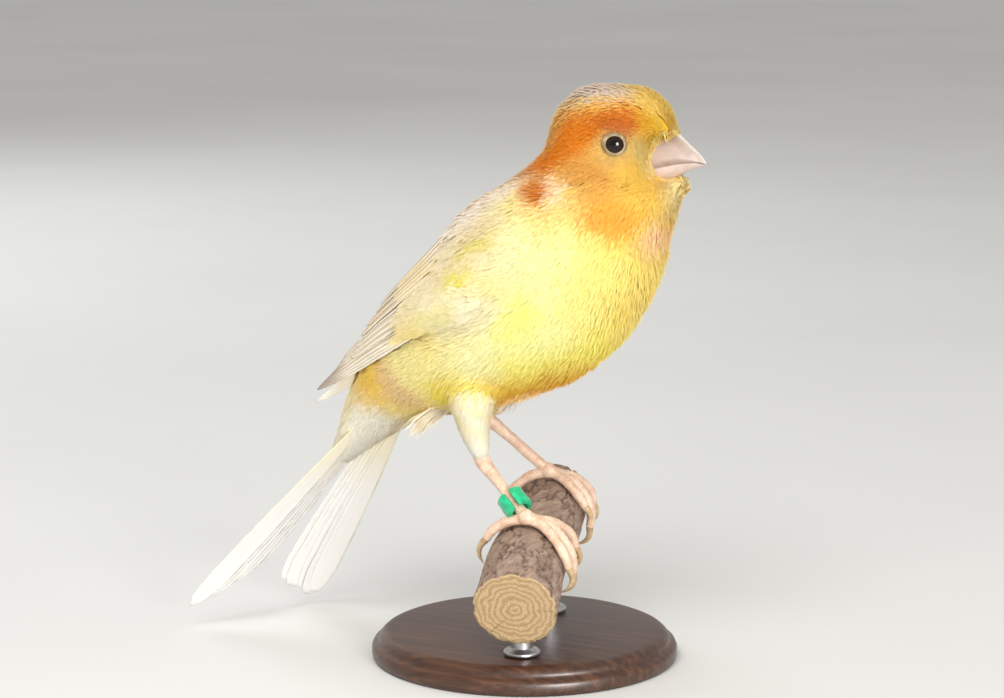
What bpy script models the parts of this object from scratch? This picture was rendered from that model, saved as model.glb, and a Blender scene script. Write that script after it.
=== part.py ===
"""A life-size canary gripping a short length of branch, held on a plain display stand.

Metres, +Z up, with the origin at the middle of the stand's underside. The bird looks
along +X with its head turned a little to its left, towards +Y. Sizes below are in mm,
measured from the point between the feet, on top of the perch.
"""

import math
import random

import bmesh
import bpy
import numpy as np
from mathutils import Matrix, Vector

MM = 0.001
GAP = 0.3
WELD = 0.0002
RIGHT, LEFT = -1, 1
SIDE_NAMES = {RIGHT: "right", LEFT: "left"}

# The point between the feet, from the middle of the base's underside.
FEET = Vector((3.0, 0.0, 30.0))

# The body from the end of the tail coverts to the lower neck, as distance forward,
# height, slope of the section in degrees, half depth and half width.
BODY = (
    (-42.6, 2.6, 52, 1.7, 4.4),
    (-38.4, 8.4, 52, 3.9, 6.0),
    (-33.6, 14.4, 50, 6.6, 8.0),
    (-28.6, 19.4, 44, 9.4, 10.8),
    (-22.5, 24.3, 38, 12.8, 13.4),
    (-15.2, 28.8, 37, 15.1, 15.6),
    (-6.8, 34.2, 41, 16.9, 17.0),
    (1.6, 40.9, 48, 17.6, 17.2),
    (8.0, 48.5, 55, 16.3, 16.0),
    (12.1, 55.0, 62, 14.1, 13.4),
)
# The head in the same terms, before it turns. Its sections fan round the throat.
HEAD = (
    (14.5, 59.3, 67, 13.0, 11.2),
    (16.1, 63.6, 57, 13.1, 9.8),
    (18.8, 66.2, 44, 12.4, 9.3),
    (22.2, 65.9, 34, 10.3, 8.6),
    (24.3, 64.8, 22, 7.8, 7.0),
    (25.4, 63.7, 16, 5.4, 4.6),
    (24.6, 63.2, 4, 3.9, 2.8),
)
STATIONS = np.array(BODY + HEAD)
NECK_X = 13.0
HEAD_TURN = math.radians(18)
TURN_START, TURN_END = 8.5, 11.0  # stations between which the neck takes up the turn
TAIL_CUT, NECK_CUT, HEAD_CUT = 2.2, 8.5, 9.5  # stations at which the body is parted
RINGS_PER_STATION, RING_POINTS = 2.4, 24
SHARP_ANGLE = math.radians(40)

# The bill before the head turns: along, culmen, mouth, underside and half width.
BILL = (
    (20.3, 67.9, 61.0, 58.6, 4.1),
    (21.8, 67.8, 61.3, 58.7, 3.9),
    (24.3, 67.3, 61.9, 58.8, 3.6),
    (26.6, 66.1, 62.4, 59.0, 2.9),
    (28.5, 64.7, 62.5, 59.5, 2.1),
    (30.0, 63.6, 62.4, 60.3, 1.2),
    (31.0, 62.6, 62.0, 61.2, 0.4),
)
BILL_RINGS, BILL_ARCH, BILL_FULLNESS = 10, 8, 0.85
BILL_LENGTH = BILL[-1][0] - BILL[0][0]
LOWER_BILL_SHORT = 0.4  # how far the lower bill stops behind the upper one
NOSTRIL, NOSTRIL_RADIUS = (23.9, 2.75, 65.8), 0.45

EYE, EYE_RADIUS = (16.2, 8.1, 66.0), 2.2
EYE_FACING = (0.22, 1.0, 0.06)
LID_RADIUS, LID_THICKNESS, LID_OUT = 2.05, 0.42, 1.35

# The folded wing's lower edge, its middle line and its upper edge, wrist to tip.
WING_LOWER = (
    (9.6, 17.0, 49.9),
    (-1.7, 18.4, 36.5),
    (-12.8, 17.2, 32.7),
    (-25.7, 13.2, 26.0),
    (-35.7, 8.4, 21.0),
    (-44.8, 6.0, 16.4),
)
WING_MIDDLE = (
    (7.5, 15.0, 56.0),
    (-3.5, 17.9, 46.0),
    (-14.5, 16.4, 38.5),
    (-26.5, 12.4, 30.6),
    (-36.2, 7.8, 23.6),
    (-44.5, 5.7, 17.4),
)
WING_UPPER = (
    (1.6, 9.2, 60.0),
    (-9.8, 7.0, 54.4),
    (-20.0, 5.6, 44.6),
    (-30.0, 5.0, 34.6),
    (-38.0, 4.4, 25.6),
    (-44.2, 5.4, 18.4),
)
WING_CORE_END, WING_CORE_SINK, WING_CORE_DEPTH = 0.5, 0.3, 4.0
# The wing's rows of feathers: how many, where the first and last start and end as wing
# coordinates, half width and height over the wing's surface.
WING_FEATHERS = (
    (7, ((0.25, 0.06), (0.25, 0.50)), ((1.0, 0.15), (0.78, 0.85)), 1.7, -0.5),
    (5, ((0.20, 0.35), (0.20, 0.75)), ((0.72, 0.50), (0.62, 0.90)), 2.3, 0.0),
    (3, ((0.15, 0.72), (0.15, 0.92)), ((0.64, 0.80), (0.48, 0.95)), 2.6, 0.5),
    (2, ((0.08, 0.03), (0.08, 0.14)), ((0.40, 0.03), (0.36, 0.12)), 1.4, 0.2),
    (5, ((0.06, 0.18), (0.06, 0.82)), ((0.37, 0.14), (0.35, 0.86)), 2.4, 0.5),
    (4, ((0.00, 0.24), (0.00, 0.84)), ((0.22, 0.22), (0.22, 0.84)), 2.6, 0.9),
    (1, ((0.02, 0.05), (0.02, 0.05)), ((0.27, 0.02), (0.27, 0.02)), 1.3, 0.6),
)
# A feather's width along its length, as shares, and how its vane is set.
VANE_SHAPE = ((0.0, 0.35), (0.35, 0.9), (0.7, 1.0), (0.92, 0.68), (1.0, 0.2))
VANE_THICKNESS, VANE_TILT, VANE_BOW = 0.5, 0.16, 0.03
VANE_SUNK, VANE_ROOTED = 0.9, 0.3  # how deep a root is sunk, and how far along it comes out
# The left wing is folded a little lower, and its tip lies nearer the middle.
WING_SHIFT = {RIGHT: Vector((0, 0, 0)), LEFT: Vector((-2.6, -5.0, -3.4))}
WING_SHIFT_POWER = 4
WING_STEP = 0.02  # the step over which ways along and across the wing are taken
WING_SEED, WING_TIP_UNEVEN, WING_WIDTH_UNEVEN = 23, 0.006, 0.05

TAIL_ROOT = Vector((-28.0, 0.0, 18.7))
TAIL_SLOPE = math.radians(52.5)
TAIL_ROLL = math.radians(20)  # the left side of the tail hangs lower
# Where the inmost and outmost tail feathers of each side start and end, as distance
# along the tail and to the left across it.
TAIL_FEATHERS = {
    RIGHT: ((8, -1.4), (52, -6.6), (8, -4.4), (59.5, -14.8)),
    LEFT: ((8, 0.4), (53, 4.2), (8, 3.4), (55, 12.4)),
}
TAIL_PER_SIDE, TAIL_HALF, TAIL_STEP = 6, 2.8, 0.36
TAIL_SEED, TAIL_TIP_UNEVEN = 3, 0.5

# The perch's top from behind the left foot to before the right one, with its radius.
PERCH = (
    (-8.0, 20.0, 1.9, 6.8),
    (-4.3, 11.0, 0.7, 6.9),
    (0.0, 0.0, -0.7, 7.1),
    (4.0, -12.0, -2.5, 7.3),
    (7.2, -20.0, -4.6, 7.5),
    (9.6, -26.5, -7.2, 7.7),
)
PERCH_POINTS, PERCH_SEED, PERCH_UNEVEN, PERCH_STEP = 15, 5, 0.02, 0.05
FOOT_PLACE = {RIGHT: 3.0, LEFT: 1.0}  # stations of the perch under each foot

# Each leg from inside the body to the ankle, with the radius of its feathers.
THIGH = {
    RIGHT: (
        (-9.0, -8.6, 25.0, 4.8),
        (-8.6, -9.5, 18.5, 4.0),
        (-8.1, -9.7, 14.5, 3.3),
        (-7.3, -9.4, 10.6, 2.3),
        (-6.6, -9.1, 7.9, 1.5),
    ),
    LEFT: (
        (-11.0, 8.0, 26.0, 4.8),
        (-12.4, 8.4, 19.0, 4.2),
        (-13.6, 7.4, 15.0, 2.8),
        (-14.3, 6.4, 13.0, 1.7),
    ),
}
ANKLE = {RIGHT: Vector((-6.3, -9.0, 7.3)), LEFT: Vector((-14.4, 6.0, 12.4))}
FOOT_HEIGHT = 1.5
TARSUS_RADIUS = (1.35, 1.05, 1.0, 1.15)

# Toes and claws in order from the inner front toe: how far round the perch each toe
# and its claw reach in degrees, and how far along the perch the toe spreads.
TOES = {
    RIGHT: ((78, 108, -4.2), (97, 130, 0.4), (80, 112, 4.4), (-60, -94, -0.6)),
    LEFT: ((66, 96, 4.2), (104, 136, 0.6), (84, 114, -4.2), (-60, -94, 0.6)),
}
TOE_RADIUS = (1.15, 0.95, 0.9, 0.8)
CLAW_RADIUS = (0.7, 0.6, 0.42, 0.15)
TOE_CLEAR = 0.05
TOE_POINTS, CLAW_POINTS = 8, 5
TOE_START, TOE_SPREADING = 0.16, 1.2  # where a toe leaves its joint, and how soon it spreads
CLAW_START, CLAW_ARCH, CLAW_DIP = 0.06, 0.7, 0.4

LEG_RING_PLACE = 0.75
LEG_RING_OUTER, LEG_RING_INNER, LEG_RING_HEIGHT, LEG_RING_SLIT = 2.55, 1.5, 3.6, 0.9
LEG_RING_STEPS, LEG_RING_FACING = 20, (0.5, -0.85, 0.2)

BASE_RADIUS, BASE_THICKNESS, BASE_EDGE, BASE_SIDES = 28.0, 5.0, 0.8, 64
ROD_RADIUS, ROD_SIDES = 2.0, 20
ROD_PLACES = (0.9, 3.7)


def smooth(rows, places):
    """Rows read at the given places from a Catmull-Rom curve through rows."""
    rows = np.array(rows, float)
    padded = np.vstack([2 * rows[0] - rows[1], rows, 2 * rows[-1] - rows[-2]])
    made = []
    for place in np.atleast_1d(places):
        first = min(max(int(place), 0), len(rows) - 2)
        f = place - first
        a, b, c, d = padded[first : first + 4]
        bend = (2 * a - 5 * b + 4 * c - d) * f**2 + (3 * b - a - 3 * c + d) * f**3
        made.append(0.5 * (2 * b + (c - a) * f + bend))
    return np.array(made)


def evenly(rows, count):
    """A count of rows spread along the curve through rows."""
    return smooth(rows, np.linspace(0, len(rows) - 1, count))


def ease(value):
    value = min(max(value, 0.0), 1.0)
    return value * value * (3 - 2 * value)


def turned(point, share=1.0):
    """A point of the head, turned about the neck by a share of the head's turn."""
    turn = Matrix.Rotation(HEAD_TURN * share, 3, "Z")
    neck = Vector((NECK_X, 0, 0))
    return turn @ (Vector(point) - neck) + neck


def material(name, colour, roughness):
    made = bpy.data.materials.new(name)
    made.use_nodes = True
    shader = made.node_tree.nodes["Principled BSDF"]
    shader.inputs["Base Color"].default_value = (*colour, 1.0)
    shader.inputs["Roughness"].default_value = roughness
    return made


def new_object(name, mesh):
    made = bpy.data.objects.new(name, mesh)
    bpy.context.scene.collection.objects.link(made)
    return made


def mesh_object(name, points, faces):
    """An object from points in mm, measured from the point between the feet."""
    mesh = bpy.data.meshes.new(name)
    mesh.from_pydata([(Vector(point) + FEET) * MM for point in points], [], faces)
    work = bmesh.new()
    work.from_mesh(mesh)
    bmesh.ops.recalc_face_normals(work, faces=work.faces)
    work.to_mesh(mesh)
    work.free()
    return new_object(name, mesh)


def loft(name, rings):
    """A closed skin through rings of equally many points, with flat ends."""
    count, around = len(rings), len(rings[0])
    faces = [tuple(range(around)), tuple((count - 1) * around + i for i in range(around))]
    for row in range(count - 1):
        for i in range(around):
            j = (i + 1) % around
            here, there = row * around, (row + 1) * around
            faces.append((here + i, here + j, there + j, there + i))
    return mesh_object(name, [point for ring in rings for point in ring], faces)


def tube(name, points, radii, resolution=2):
    """A round tube through points, as a mesh, with a radius at each point."""
    curve = bpy.data.curves.new(name, "CURVE")
    curve.dimensions = "3D"
    curve.bevel_depth = MM
    curve.bevel_resolution = resolution
    curve.use_fill_caps = True
    spline = curve.splines.new("POLY")
    spline.points.add(len(points) - 1)
    for target, point, radius in zip(spline.points, points, radii):
        target.co = (*((Vector(point) + FEET) * MM), 1.0)
        target.radius = radius
    drawn = new_object(name, curve)
    graph = bpy.context.evaluated_depsgraph_get()
    mesh = bpy.data.meshes.new_from_object(drawn.evaluated_get(graph))
    bpy.data.objects.remove(drawn)
    work = bmesh.new()
    work.from_mesh(mesh)
    bmesh.ops.remove_doubles(work, verts=work.verts, dist=0.01 * MM)
    bmesh.ops.recalc_face_normals(work, faces=work.faces)
    work.to_mesh(mesh)
    work.free()
    return new_object(name, mesh)


def ball(name, centre, radius, segments=16, rings=10):
    mesh = bpy.data.meshes.new(name)
    work = bmesh.new()
    place = Matrix.Translation((Vector(centre) + FEET) * MM)
    bmesh.ops.create_uvsphere(
        work, u_segments=segments, v_segments=rings, radius=radius * MM, matrix=place
    )
    work.to_mesh(mesh)
    work.free()
    return new_object(name, mesh)


def cylinder(name, centre, direction, radius, height, sides=20):
    """A cylinder about its centre in mm, its axis along a direction."""
    mesh = bpy.data.meshes.new(name)
    work = bmesh.new()
    turn = Vector(direction).to_track_quat("Z", "Y").to_matrix().to_4x4()
    place = Matrix.Translation((Vector(centre) + FEET) * MM) @ turn
    bmesh.ops.create_cone(
        work,
        cap_ends=True,
        segments=sides,
        radius1=radius * MM,
        radius2=radius * MM,
        depth=height * MM,
        matrix=place,
    )
    work.to_mesh(mesh)
    work.free()
    return new_object(name, mesh)


def keep_largest(mesh):
    """Weld what a cut left too fine, and keep only the surface of greatest volume."""
    work = bmesh.new()
    work.from_mesh(mesh)
    bmesh.ops.remove_doubles(work, verts=work.verts, dist=WELD * MM)
    bmesh.ops.dissolve_degenerate(work, edges=work.edges, dist=WELD * MM)
    bmesh.ops.triangulate(work, faces=work.faces)
    unseen = set(work.faces)
    shells = []
    while unseen:
        shell, edge_of_search = [], [unseen.pop()]
        while edge_of_search:
            face = edge_of_search.pop()
            shell.append(face)
            for edge in face.edges:
                for near in edge.link_faces:
                    if near in unseen:
                        unseen.remove(near)
                        edge_of_search.append(near)
        volume = sum(face.calc_center_median().dot(face.normal) * face.calc_area() for face in shell)
        shells.append((volume, shell))
    shells.sort(key=lambda pair: pair[0])
    for _, shell in shells[:-1]:
        bmesh.ops.delete(work, geom=shell, context="FACES")
    work.to_mesh(mesh)
    work.free()


def combine(target, others, operation, solver="EXACT"):
    """Join the others to the target or cut them from it, then remove them."""
    group = bpy.data.collections.new("operands")
    for other in others:
        group.objects.link(other)
    modifier = target.modifiers.new("Combine", "BOOLEAN")
    modifier.operand_type = "COLLECTION"
    modifier.collection = group
    modifier.operation = operation
    modifier.solver = solver
    graph = bpy.context.evaluated_depsgraph_get()
    mesh = bpy.data.meshes.new_from_object(target.evaluated_get(graph))
    target.modifiers.clear()
    target.data = mesh
    keep_largest(mesh)
    for other in others:
        bpy.data.objects.remove(other)
    bpy.data.collections.remove(group)
    return target


def body_section(place, grow=0.0, shift=0.0):
    """The ring round the body at a station, grown outwards and shifted forward."""
    x, z, slope, depth, width = smooth(STATIONS, place)[0]
    share = ease((place - TURN_START) / (TURN_END - TURN_START))
    up = Vector((-math.sin(math.radians(slope)), 0, math.cos(math.radians(slope))))
    ahead = Vector((up.z, 0, -up.x))
    centre = Vector((x, 0, z)) + ahead * shift
    ring = []
    for angle in np.linspace(0, 2 * math.pi, RING_POINTS, endpoint=False):
        side = Vector((0, math.sin(angle) * (width + grow), 0))
        ring.append(turned(centre + up * math.cos(angle) * (depth + grow) + side, share))
    return ring


def body_length(name, first, last, grow=0.0):
    """The body between two stations, parted from its neighbours by half the gap."""
    count = max(round((last - first) * RINGS_PER_STATION) + 1, 3)
    rings = [body_section(place, grow) for place in np.linspace(first, last, count)]
    if first > 0:
        rings[0] = body_section(first, grow, GAP / 2)
    if last < len(STATIONS) - 1:
        rings[-1] = body_section(last, grow, -GAP / 2)
    return loft(name, rings)


def whole_body(grow):
    return body_length("whole_body", 0, len(STATIONS) - 1, grow)


def bill(name, upper, grow=0.0):
    """Half of the bill, an arch over a flat bottom, or the whole of it grown."""
    rings = []
    for along, culmen, mouth, underside, width in evenly(BILL, BILL_RINGS):
        middle = mouth + (GAP / 2 if upper else -GAP / 2)
        tip = culmen + grow if upper else underside - grow
        if grow:
            middle = mouth
        if not upper:
            along -= LOWER_BILL_SHORT * ease((along - BILL[0][0]) / BILL_LENGTH)
        if not rings:
            along -= grow
        ring = []
        for angle in np.linspace(0, math.pi, BILL_ARCH + 1):
            side = math.cos(angle) * (width + grow)
            ring.append(turned((along, side, middle + (tip - middle) * math.sin(angle) ** BILL_FULLNESS)))
        rings.append(ring)
    return loft(name, rings)


def make_head():
    """The head, with a ring of lid round each eye and the bill's seat cut in."""
    head = body_length("head", HEAD_CUT, len(STATIONS) - 1)
    lids, sockets, eyes = [], [], []
    for side in (RIGHT, LEFT):
        centre = turned((EYE[0], side * EYE[1], EYE[2]))
        facing = turned((EYE_FACING[0] + NECK_X, side * EYE_FACING[1], EYE_FACING[2]))
        facing = (facing - Vector((NECK_X, 0, 0))).normalized()
        turn = facing.to_track_quat("Z", "Y")
        bpy.ops.mesh.primitive_torus_add(
            major_segments=20,
            minor_segments=6,
            major_radius=LID_RADIUS * MM,
            minor_radius=LID_THICKNESS * MM,
            location=(centre + facing * LID_OUT + FEET) * MM,
            rotation=turn.to_euler(),
        )
        lids.append(bpy.context.object)
        sockets.append(ball("socket", centre, EYE_RADIUS + GAP, 16, 10))
        eyes.append(ball("eye_" + SIDE_NAMES[side], centre, EYE_RADIUS))
    combine(head, lids, "UNION")
    seat = [bill("seat_above", True, GAP), bill("seat_below", False, GAP)]
    combine(head, sockets + seat, "DIFFERENCE")
    return [head] + eyes


def make_bill():
    upper = bill("bill_upper", True)
    nostrils = []
    for side in (RIGHT, LEFT):
        centre = turned((NOSTRIL[0], side * NOSTRIL[1], NOSTRIL[2]))
        nostrils.append(ball("nostril", centre, NOSTRIL_RADIUS, 8, 6))
    combine(upper, nostrils, "DIFFERENCE")
    return [upper, bill("bill_lower", False)]


def wing_point(side, s, t):
    """A point of the folded wing: s runs from the wrist to the tip, t from its lower
    edge to its upper one."""
    place = s * (len(WING_LOWER) - 1)
    lower, middle, upper = (smooth(rows, place)[0] for rows in (WING_LOWER, WING_MIDDLE, WING_UPPER))
    bulge = 2 * middle - (lower + upper) / 2
    x, y, z = (1 - t) ** 2 * lower + 2 * t * (1 - t) * bulge + t**2 * upper
    return Vector((x, side * y, z)) + WING_SHIFT[side] * max(s, 0.0) ** WING_SHIFT_POWER


def wing_normal(side, s, t):
    """The direction out of the wing at a point of it."""
    along = wing_point(side, s + WING_STEP, t) - wing_point(side, s - WING_STEP, t)
    across = wing_point(side, s, t + WING_STEP) - wing_point(side, s, t - WING_STEP)
    return (along.cross(across) * side).normalized()


def plate(name, tops, bottoms):
    """A closed plate between two grids of points, split alike on both."""
    rows, columns = len(tops), len(tops[0])
    half = rows * columns
    points = [point for row in tops for point in row] + [point for row in bottoms for point in row]
    faces = []
    for row in range(rows - 1):
        for column in range(columns - 1):
            a = row * columns + column
            b, c, d = a + 1, a + columns + 1, a + columns
            for face in ((a, b, c), (a, c, d)):
                faces.append(face)
                faces.append(tuple(half + i for i in reversed(face)))
    rim = list(range(columns))
    rim += [(r + 1) * columns - 1 for r in range(1, rows)]
    rim += [(rows - 1) * columns + c for c in range(columns - 2, -1, -1)]
    rim += [r * columns for r in range(rows - 2, 0, -1)]
    for here, there in zip(rim, rim[1:] + rim[:1]):
        faces += [(here, there, half + there), (here, half + there, half + here)]
    return mesh_object(name, points, faces)


def wing_core(side):
    """The slab of arm and muscle under the roots of the wing's feathers."""
    tops, bottoms = [], []
    for s in np.linspace(0.0, WING_CORE_END, 7):
        row = [(wing_point(side, s, t), wing_normal(side, s, t)) for t in np.linspace(0, 1, 5)]
        tops.append([point - normal * WING_CORE_SINK for point, normal in row])
        bottoms.append([point - normal * WING_CORE_DEPTH for point, normal in row])
    return plate("wing_" + SIDE_NAMES[side], tops, bottoms)


def wing_vane(side, root, tip, half, lift):
    """One feather lying on the wing, its lower edge raised over its neighbour."""
    tops, bottoms = [], []
    for share, width in VANE_SHAPE:
        s, t = Vector(root).lerp(Vector(tip), share)
        point, normal = wing_point(side, s, t), wing_normal(side, s, t)
        before = wing_point(side, *Vector(root).lerp(Vector(tip), share - WING_STEP))
        after = wing_point(side, *Vector(root).lerp(Vector(tip), share + WING_STEP))
        along = (after - before).normalized()
        across = normal.cross(along) * -side
        reach = half * width
        sink = normal * reach**2 * VANE_BOW
        rise = normal * reach * VANE_TILT
        rooted = ease(share / VANE_ROOTED)
        middle = point + normal * (lift * rooted - VANE_SUNK * (1 - rooted)) - sink
        edges = (middle - across * reach + rise, middle + across * reach - rise)
        tops.append([edge + normal * VANE_THICKNESS / 2 for edge in edges])
        bottoms.append([edge - normal * VANE_THICKNESS / 2 for edge in edges])
    return plate("vane", tops, bottoms)


def make_wing(side):
    """A folded wing: each row of feathers is set out from its first to its last."""
    uneven = random.Random(WING_SEED + side)
    vanes = []
    for count, root, tip, half, lift in WING_FEATHERS:
        for share in np.linspace(0, 1, count) if count > 1 else (0.0,):
            start = Vector(root[0]).lerp(Vector(root[1]), share)
            end = Vector(tip[0]).lerp(Vector(tip[1]), share)
            end.x += uneven.uniform(-WING_TIP_UNEVEN, WING_TIP_UNEVEN)
            width = half * (1 + uneven.uniform(-WING_WIDTH_UNEVEN, WING_WIDTH_UNEVEN))
            vanes.append(wing_vane(side, start, end, width, lift))
    wing = combine(wing_core(side), vanes, "UNION")
    return combine(wing, [whole_body(GAP)], "DIFFERENCE")


def tail_point(along, across, height=0.0):
    """A point of the tail's plane, with its distances along, to the left and above."""
    ahead = Vector((-math.cos(TAIL_SLOPE), 0, -math.sin(TAIL_SLOPE)))
    above = Vector((-math.sin(TAIL_SLOPE), 0, math.cos(TAIL_SLOPE)))
    left = Vector((0, math.cos(TAIL_ROLL), 0)) - above * math.sin(TAIL_ROLL)
    return TAIL_ROOT + ahead * along + left * across + ahead.cross(left) * -height


def make_tail():
    """The tail coverts with twelve feathers, the middle ones lying on the outer ones."""
    tail = body_length("tail", 0, TAIL_CUT)
    uneven = random.Random(TAIL_SEED)
    vanes = []
    for side in (RIGHT, LEFT):
        root_in, tip_in, root_out, tip_out = (Vector(row) for row in TAIL_FEATHERS[side])
        for number in range(TAIL_PER_SIDE):
            share = number / (TAIL_PER_SIDE - 1)
            start, end = root_in.lerp(root_out, share), tip_in.lerp(tip_out, share)
            end.x += uneven.uniform(-TAIL_TIP_UNEVEN, TAIL_TIP_UNEVEN)
            height = -TAIL_STEP * (number + (0.5 if side == LEFT else 0.0))
            tops, bottoms = [], []
            for along, width in VANE_SHAPE:
                middle, reach = start.lerp(end, along), Vector((0, TAIL_HALF * width))
                edges = (middle - reach, middle + reach)
                tops.append([tail_point(*edge, height + VANE_THICKNESS / 2) for edge in edges])
                bottoms.append([tail_point(*edge, height - VANE_THICKNESS / 2) for edge in edges])
            vanes.append(plate("vane", tops, bottoms))
    return combine(tail, vanes, "UNION")


def perch_axes(place):
    """The perch's axis point, radius and its ways along, up and forward at a place."""
    x, y, z, radius = smooth(PERCH, place)[0]
    before, after = smooth(PERCH, (place - PERCH_STEP, place + PERCH_STEP))
    along = Vector(after[:3] - before[:3]).normalized()
    up = (Vector((0, 0, 1)) - along * along.z).normalized()
    ahead = up.cross(along)
    if ahead.x < 0:
        ahead.negate()
    return Vector((x, y, z)) - up * radius, radius, along, up, ahead


def on_perch(place, degrees, spread, height):
    """A point above the perch's bark, some way round it from its top."""
    axis, radius, along, up, ahead = perch_axes(place)
    angle = math.radians(degrees)
    reach = radius + height
    return axis + along * spread + (up * math.cos(angle) + ahead * math.sin(angle)) * reach


def perch(name, grow=0.0):
    """The cut length of branch, knobbly as its bark is."""
    uneven = random.Random(PERCH_SEED)
    places = np.linspace(0, len(PERCH) - 1, PERCH_POINTS)
    points, radii = [], []
    for place in places:
        axis, radius = perch_axes(place)[:2]
        points.append(axis)
        radii.append(radius * (1 - PERCH_UNEVEN * uneven.random()) + grow)
    if grow:
        along = perch_axes(0)[2]
        points[0] = points[0] - along * grow
        points[-1] = points[-1] + perch_axes(len(PERCH) - 1)[2] * grow
    return tube(name, points, radii, 8)


def foot_joint(side):
    return on_perch(FOOT_PLACE[side], 0, 0, GAP + FOOT_HEIGHT)


def tarsus(name, side, grow=0.0):
    start, end = ANKLE[side], foot_joint(side)
    beyond = (end - start).normalized() * grow
    shares = np.linspace(0, 1, len(TARSUS_RADIUS))
    points = [(start - beyond).lerp(end + beyond, share) for share in shares]
    return tube(name, points, [radius + grow for radius in TARSUS_RADIUS], 3)


def toe_line(side, toe):
    """The middle line of a toe with its radii, from the joint down and round the bark."""
    reach, _, spread = TOES[side][toe]
    points, radii = [foot_joint(side)], [TOE_RADIUS[0]]
    for share in np.linspace(TOE_START, 1, TOE_POINTS - 1):
        radius = float(np.interp(share, np.linspace(0, 1, len(TOE_RADIUS)), TOE_RADIUS))
        spread_here = spread * ease(share * TOE_SPREADING)
        points.append(on_perch(FOOT_PLACE[side], reach * share, spread_here, GAP + radius + TOE_CLEAR))
        radii.append(radius)
    return points, radii


def claw_line(side, toe):
    """The middle line of a claw, arched from the toe's end to its own tip."""
    start, end, spread = TOES[side][toe]
    points = []
    for share in np.linspace(CLAW_START, 1, CLAW_POINTS):
        degrees = start + (end - start) * share
        height = GAP + TOE_RADIUS[-1] + CLAW_ARCH * math.sin(math.pi * share) - CLAW_DIP * share
        points.append(on_perch(FOOT_PLACE[side], degrees, spread, height))
    return points


def make_leg(side):
    """One leg: feathered thigh, tarsus, foot with its four toes, and the claws."""
    label = SIDE_NAMES[side]
    rows = evenly(THIGH[side], 9)
    thigh = tube("thigh_" + label, rows[:, :3], rows[:, 3], 5)
    shank = tarsus("tarsus_" + label, side)
    combine(thigh, [whole_body(GAP), tarsus("space", side, GAP)], "DIFFERENCE")
    foot = ball("foot_" + label, foot_joint(side), FOOT_HEIGHT, 12, 8)
    toes = [tube("toe", *toe_line(side, toe)) for toe in range(len(TOES[side]))]
    combine(foot, toes, "UNION")
    spaces = [tarsus("space", side, GAP)]
    if side == RIGHT:
        spaces.append(leg_ring_space())
    combine(foot, spaces, "DIFFERENCE")
    made = [thigh, shank, foot]
    claw_radii = np.interp(
        np.linspace(0, 1, CLAW_POINTS), np.linspace(0, 1, len(CLAW_RADIUS)), CLAW_RADIUS
    )
    for toe in range(len(TOES[side])):
        claw = tube("claw_%s_%d" % (label, toe + 1), claw_line(side, toe), claw_radii, 2)
        made.append(claw)
    return made


def leg_ring_frame():
    start, end = ANKLE[RIGHT], foot_joint(RIGHT)
    return start.lerp(end, LEG_RING_PLACE), (end - start).normalized()


def leg_ring_space():
    centre, along = leg_ring_frame()
    return cylinder("space", centre, along, LEG_RING_OUTER + GAP, LEG_RING_HEIGHT + 2 * GAP, 24)


def make_leg_ring():
    """The split ring on the right leg, its slit facing forward and to the right."""
    centre, along = leg_ring_frame()
    facing = Vector(LEG_RING_FACING)
    facing = (facing - along * facing.dot(along)).normalized()
    across = along.cross(facing)
    middle = (LEG_RING_OUTER + LEG_RING_INNER) / 2
    half_slit = LEG_RING_SLIT / 2 / middle
    rings = []
    for angle in np.linspace(half_slit, 2 * math.pi - half_slit, LEG_RING_STEPS):
        way = facing * math.cos(angle) + across * math.sin(angle)
        ring = []
        for radius, end in (
            (LEG_RING_INNER, -1),
            (LEG_RING_OUTER, -1),
            (LEG_RING_OUTER, 1),
            (LEG_RING_INNER, 1),
        ):
            ring.append(centre + way * radius + along * end * LEG_RING_HEIGHT / 2)
        rings.append(ring)
    return loft("leg_ring", rings)


def make_stand():
    """The round base and the two rods up to the perch's underside."""
    base = cylinder(
        "stand_base", Vector((0, 0, BASE_THICKNESS / 2)) - FEET, (0, 0, 1), BASE_RADIUS,
        BASE_THICKNESS, BASE_SIDES,
    )
    edge = base.modifiers.new("Edge", "BEVEL")
    edge.width = BASE_EDGE * MM
    edge.segments = 2
    edge.limit_method = "ANGLE"
    made = [base]
    for number, place in enumerate(ROD_PLACES, 1):
        axis = perch_axes(place)[0]
        foot = BASE_THICKNESS + GAP - FEET.z
        centre = Vector((axis.x, axis.y, (axis.z + foot) / 2))
        rod = cylinder(
            "stand_rod_%d" % number, centre, (0, 0, 1), ROD_RADIUS, axis.z - foot, ROD_SIDES
        )
        made.append(combine(rod, [perch("bark", GAP)], "DIFFERENCE"))
    return made


LOOKS = {
    "torso": ((0.86, 0.66, 0.08), 0.9),
    "neck": ((0.86, 0.60, 0.12), 0.9),
    "head": ((0.83, 0.47, 0.08), 0.9),
    "bill": ((0.80, 0.62, 0.56), 0.4),
    "eye": ((0.02, 0.012, 0.01), 0.08),
    "wing": ((0.72, 0.64, 0.50), 0.85),
    "tail": ((0.80, 0.79, 0.76), 0.85),
    "thigh": ((0.87, 0.82, 0.62), 0.9),
    "tarsus": ((0.74, 0.56, 0.42), 0.55),
    "foot": ((0.74, 0.52, 0.40), 0.55),
    "claw": ((0.78, 0.68, 0.52), 0.4),
    "leg": ((0.02, 0.42, 0.20), 0.35),
    "perch": ((0.22, 0.16, 0.12), 0.9),
    "stand": ((0.16, 0.15, 0.14), 0.5),
}


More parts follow.
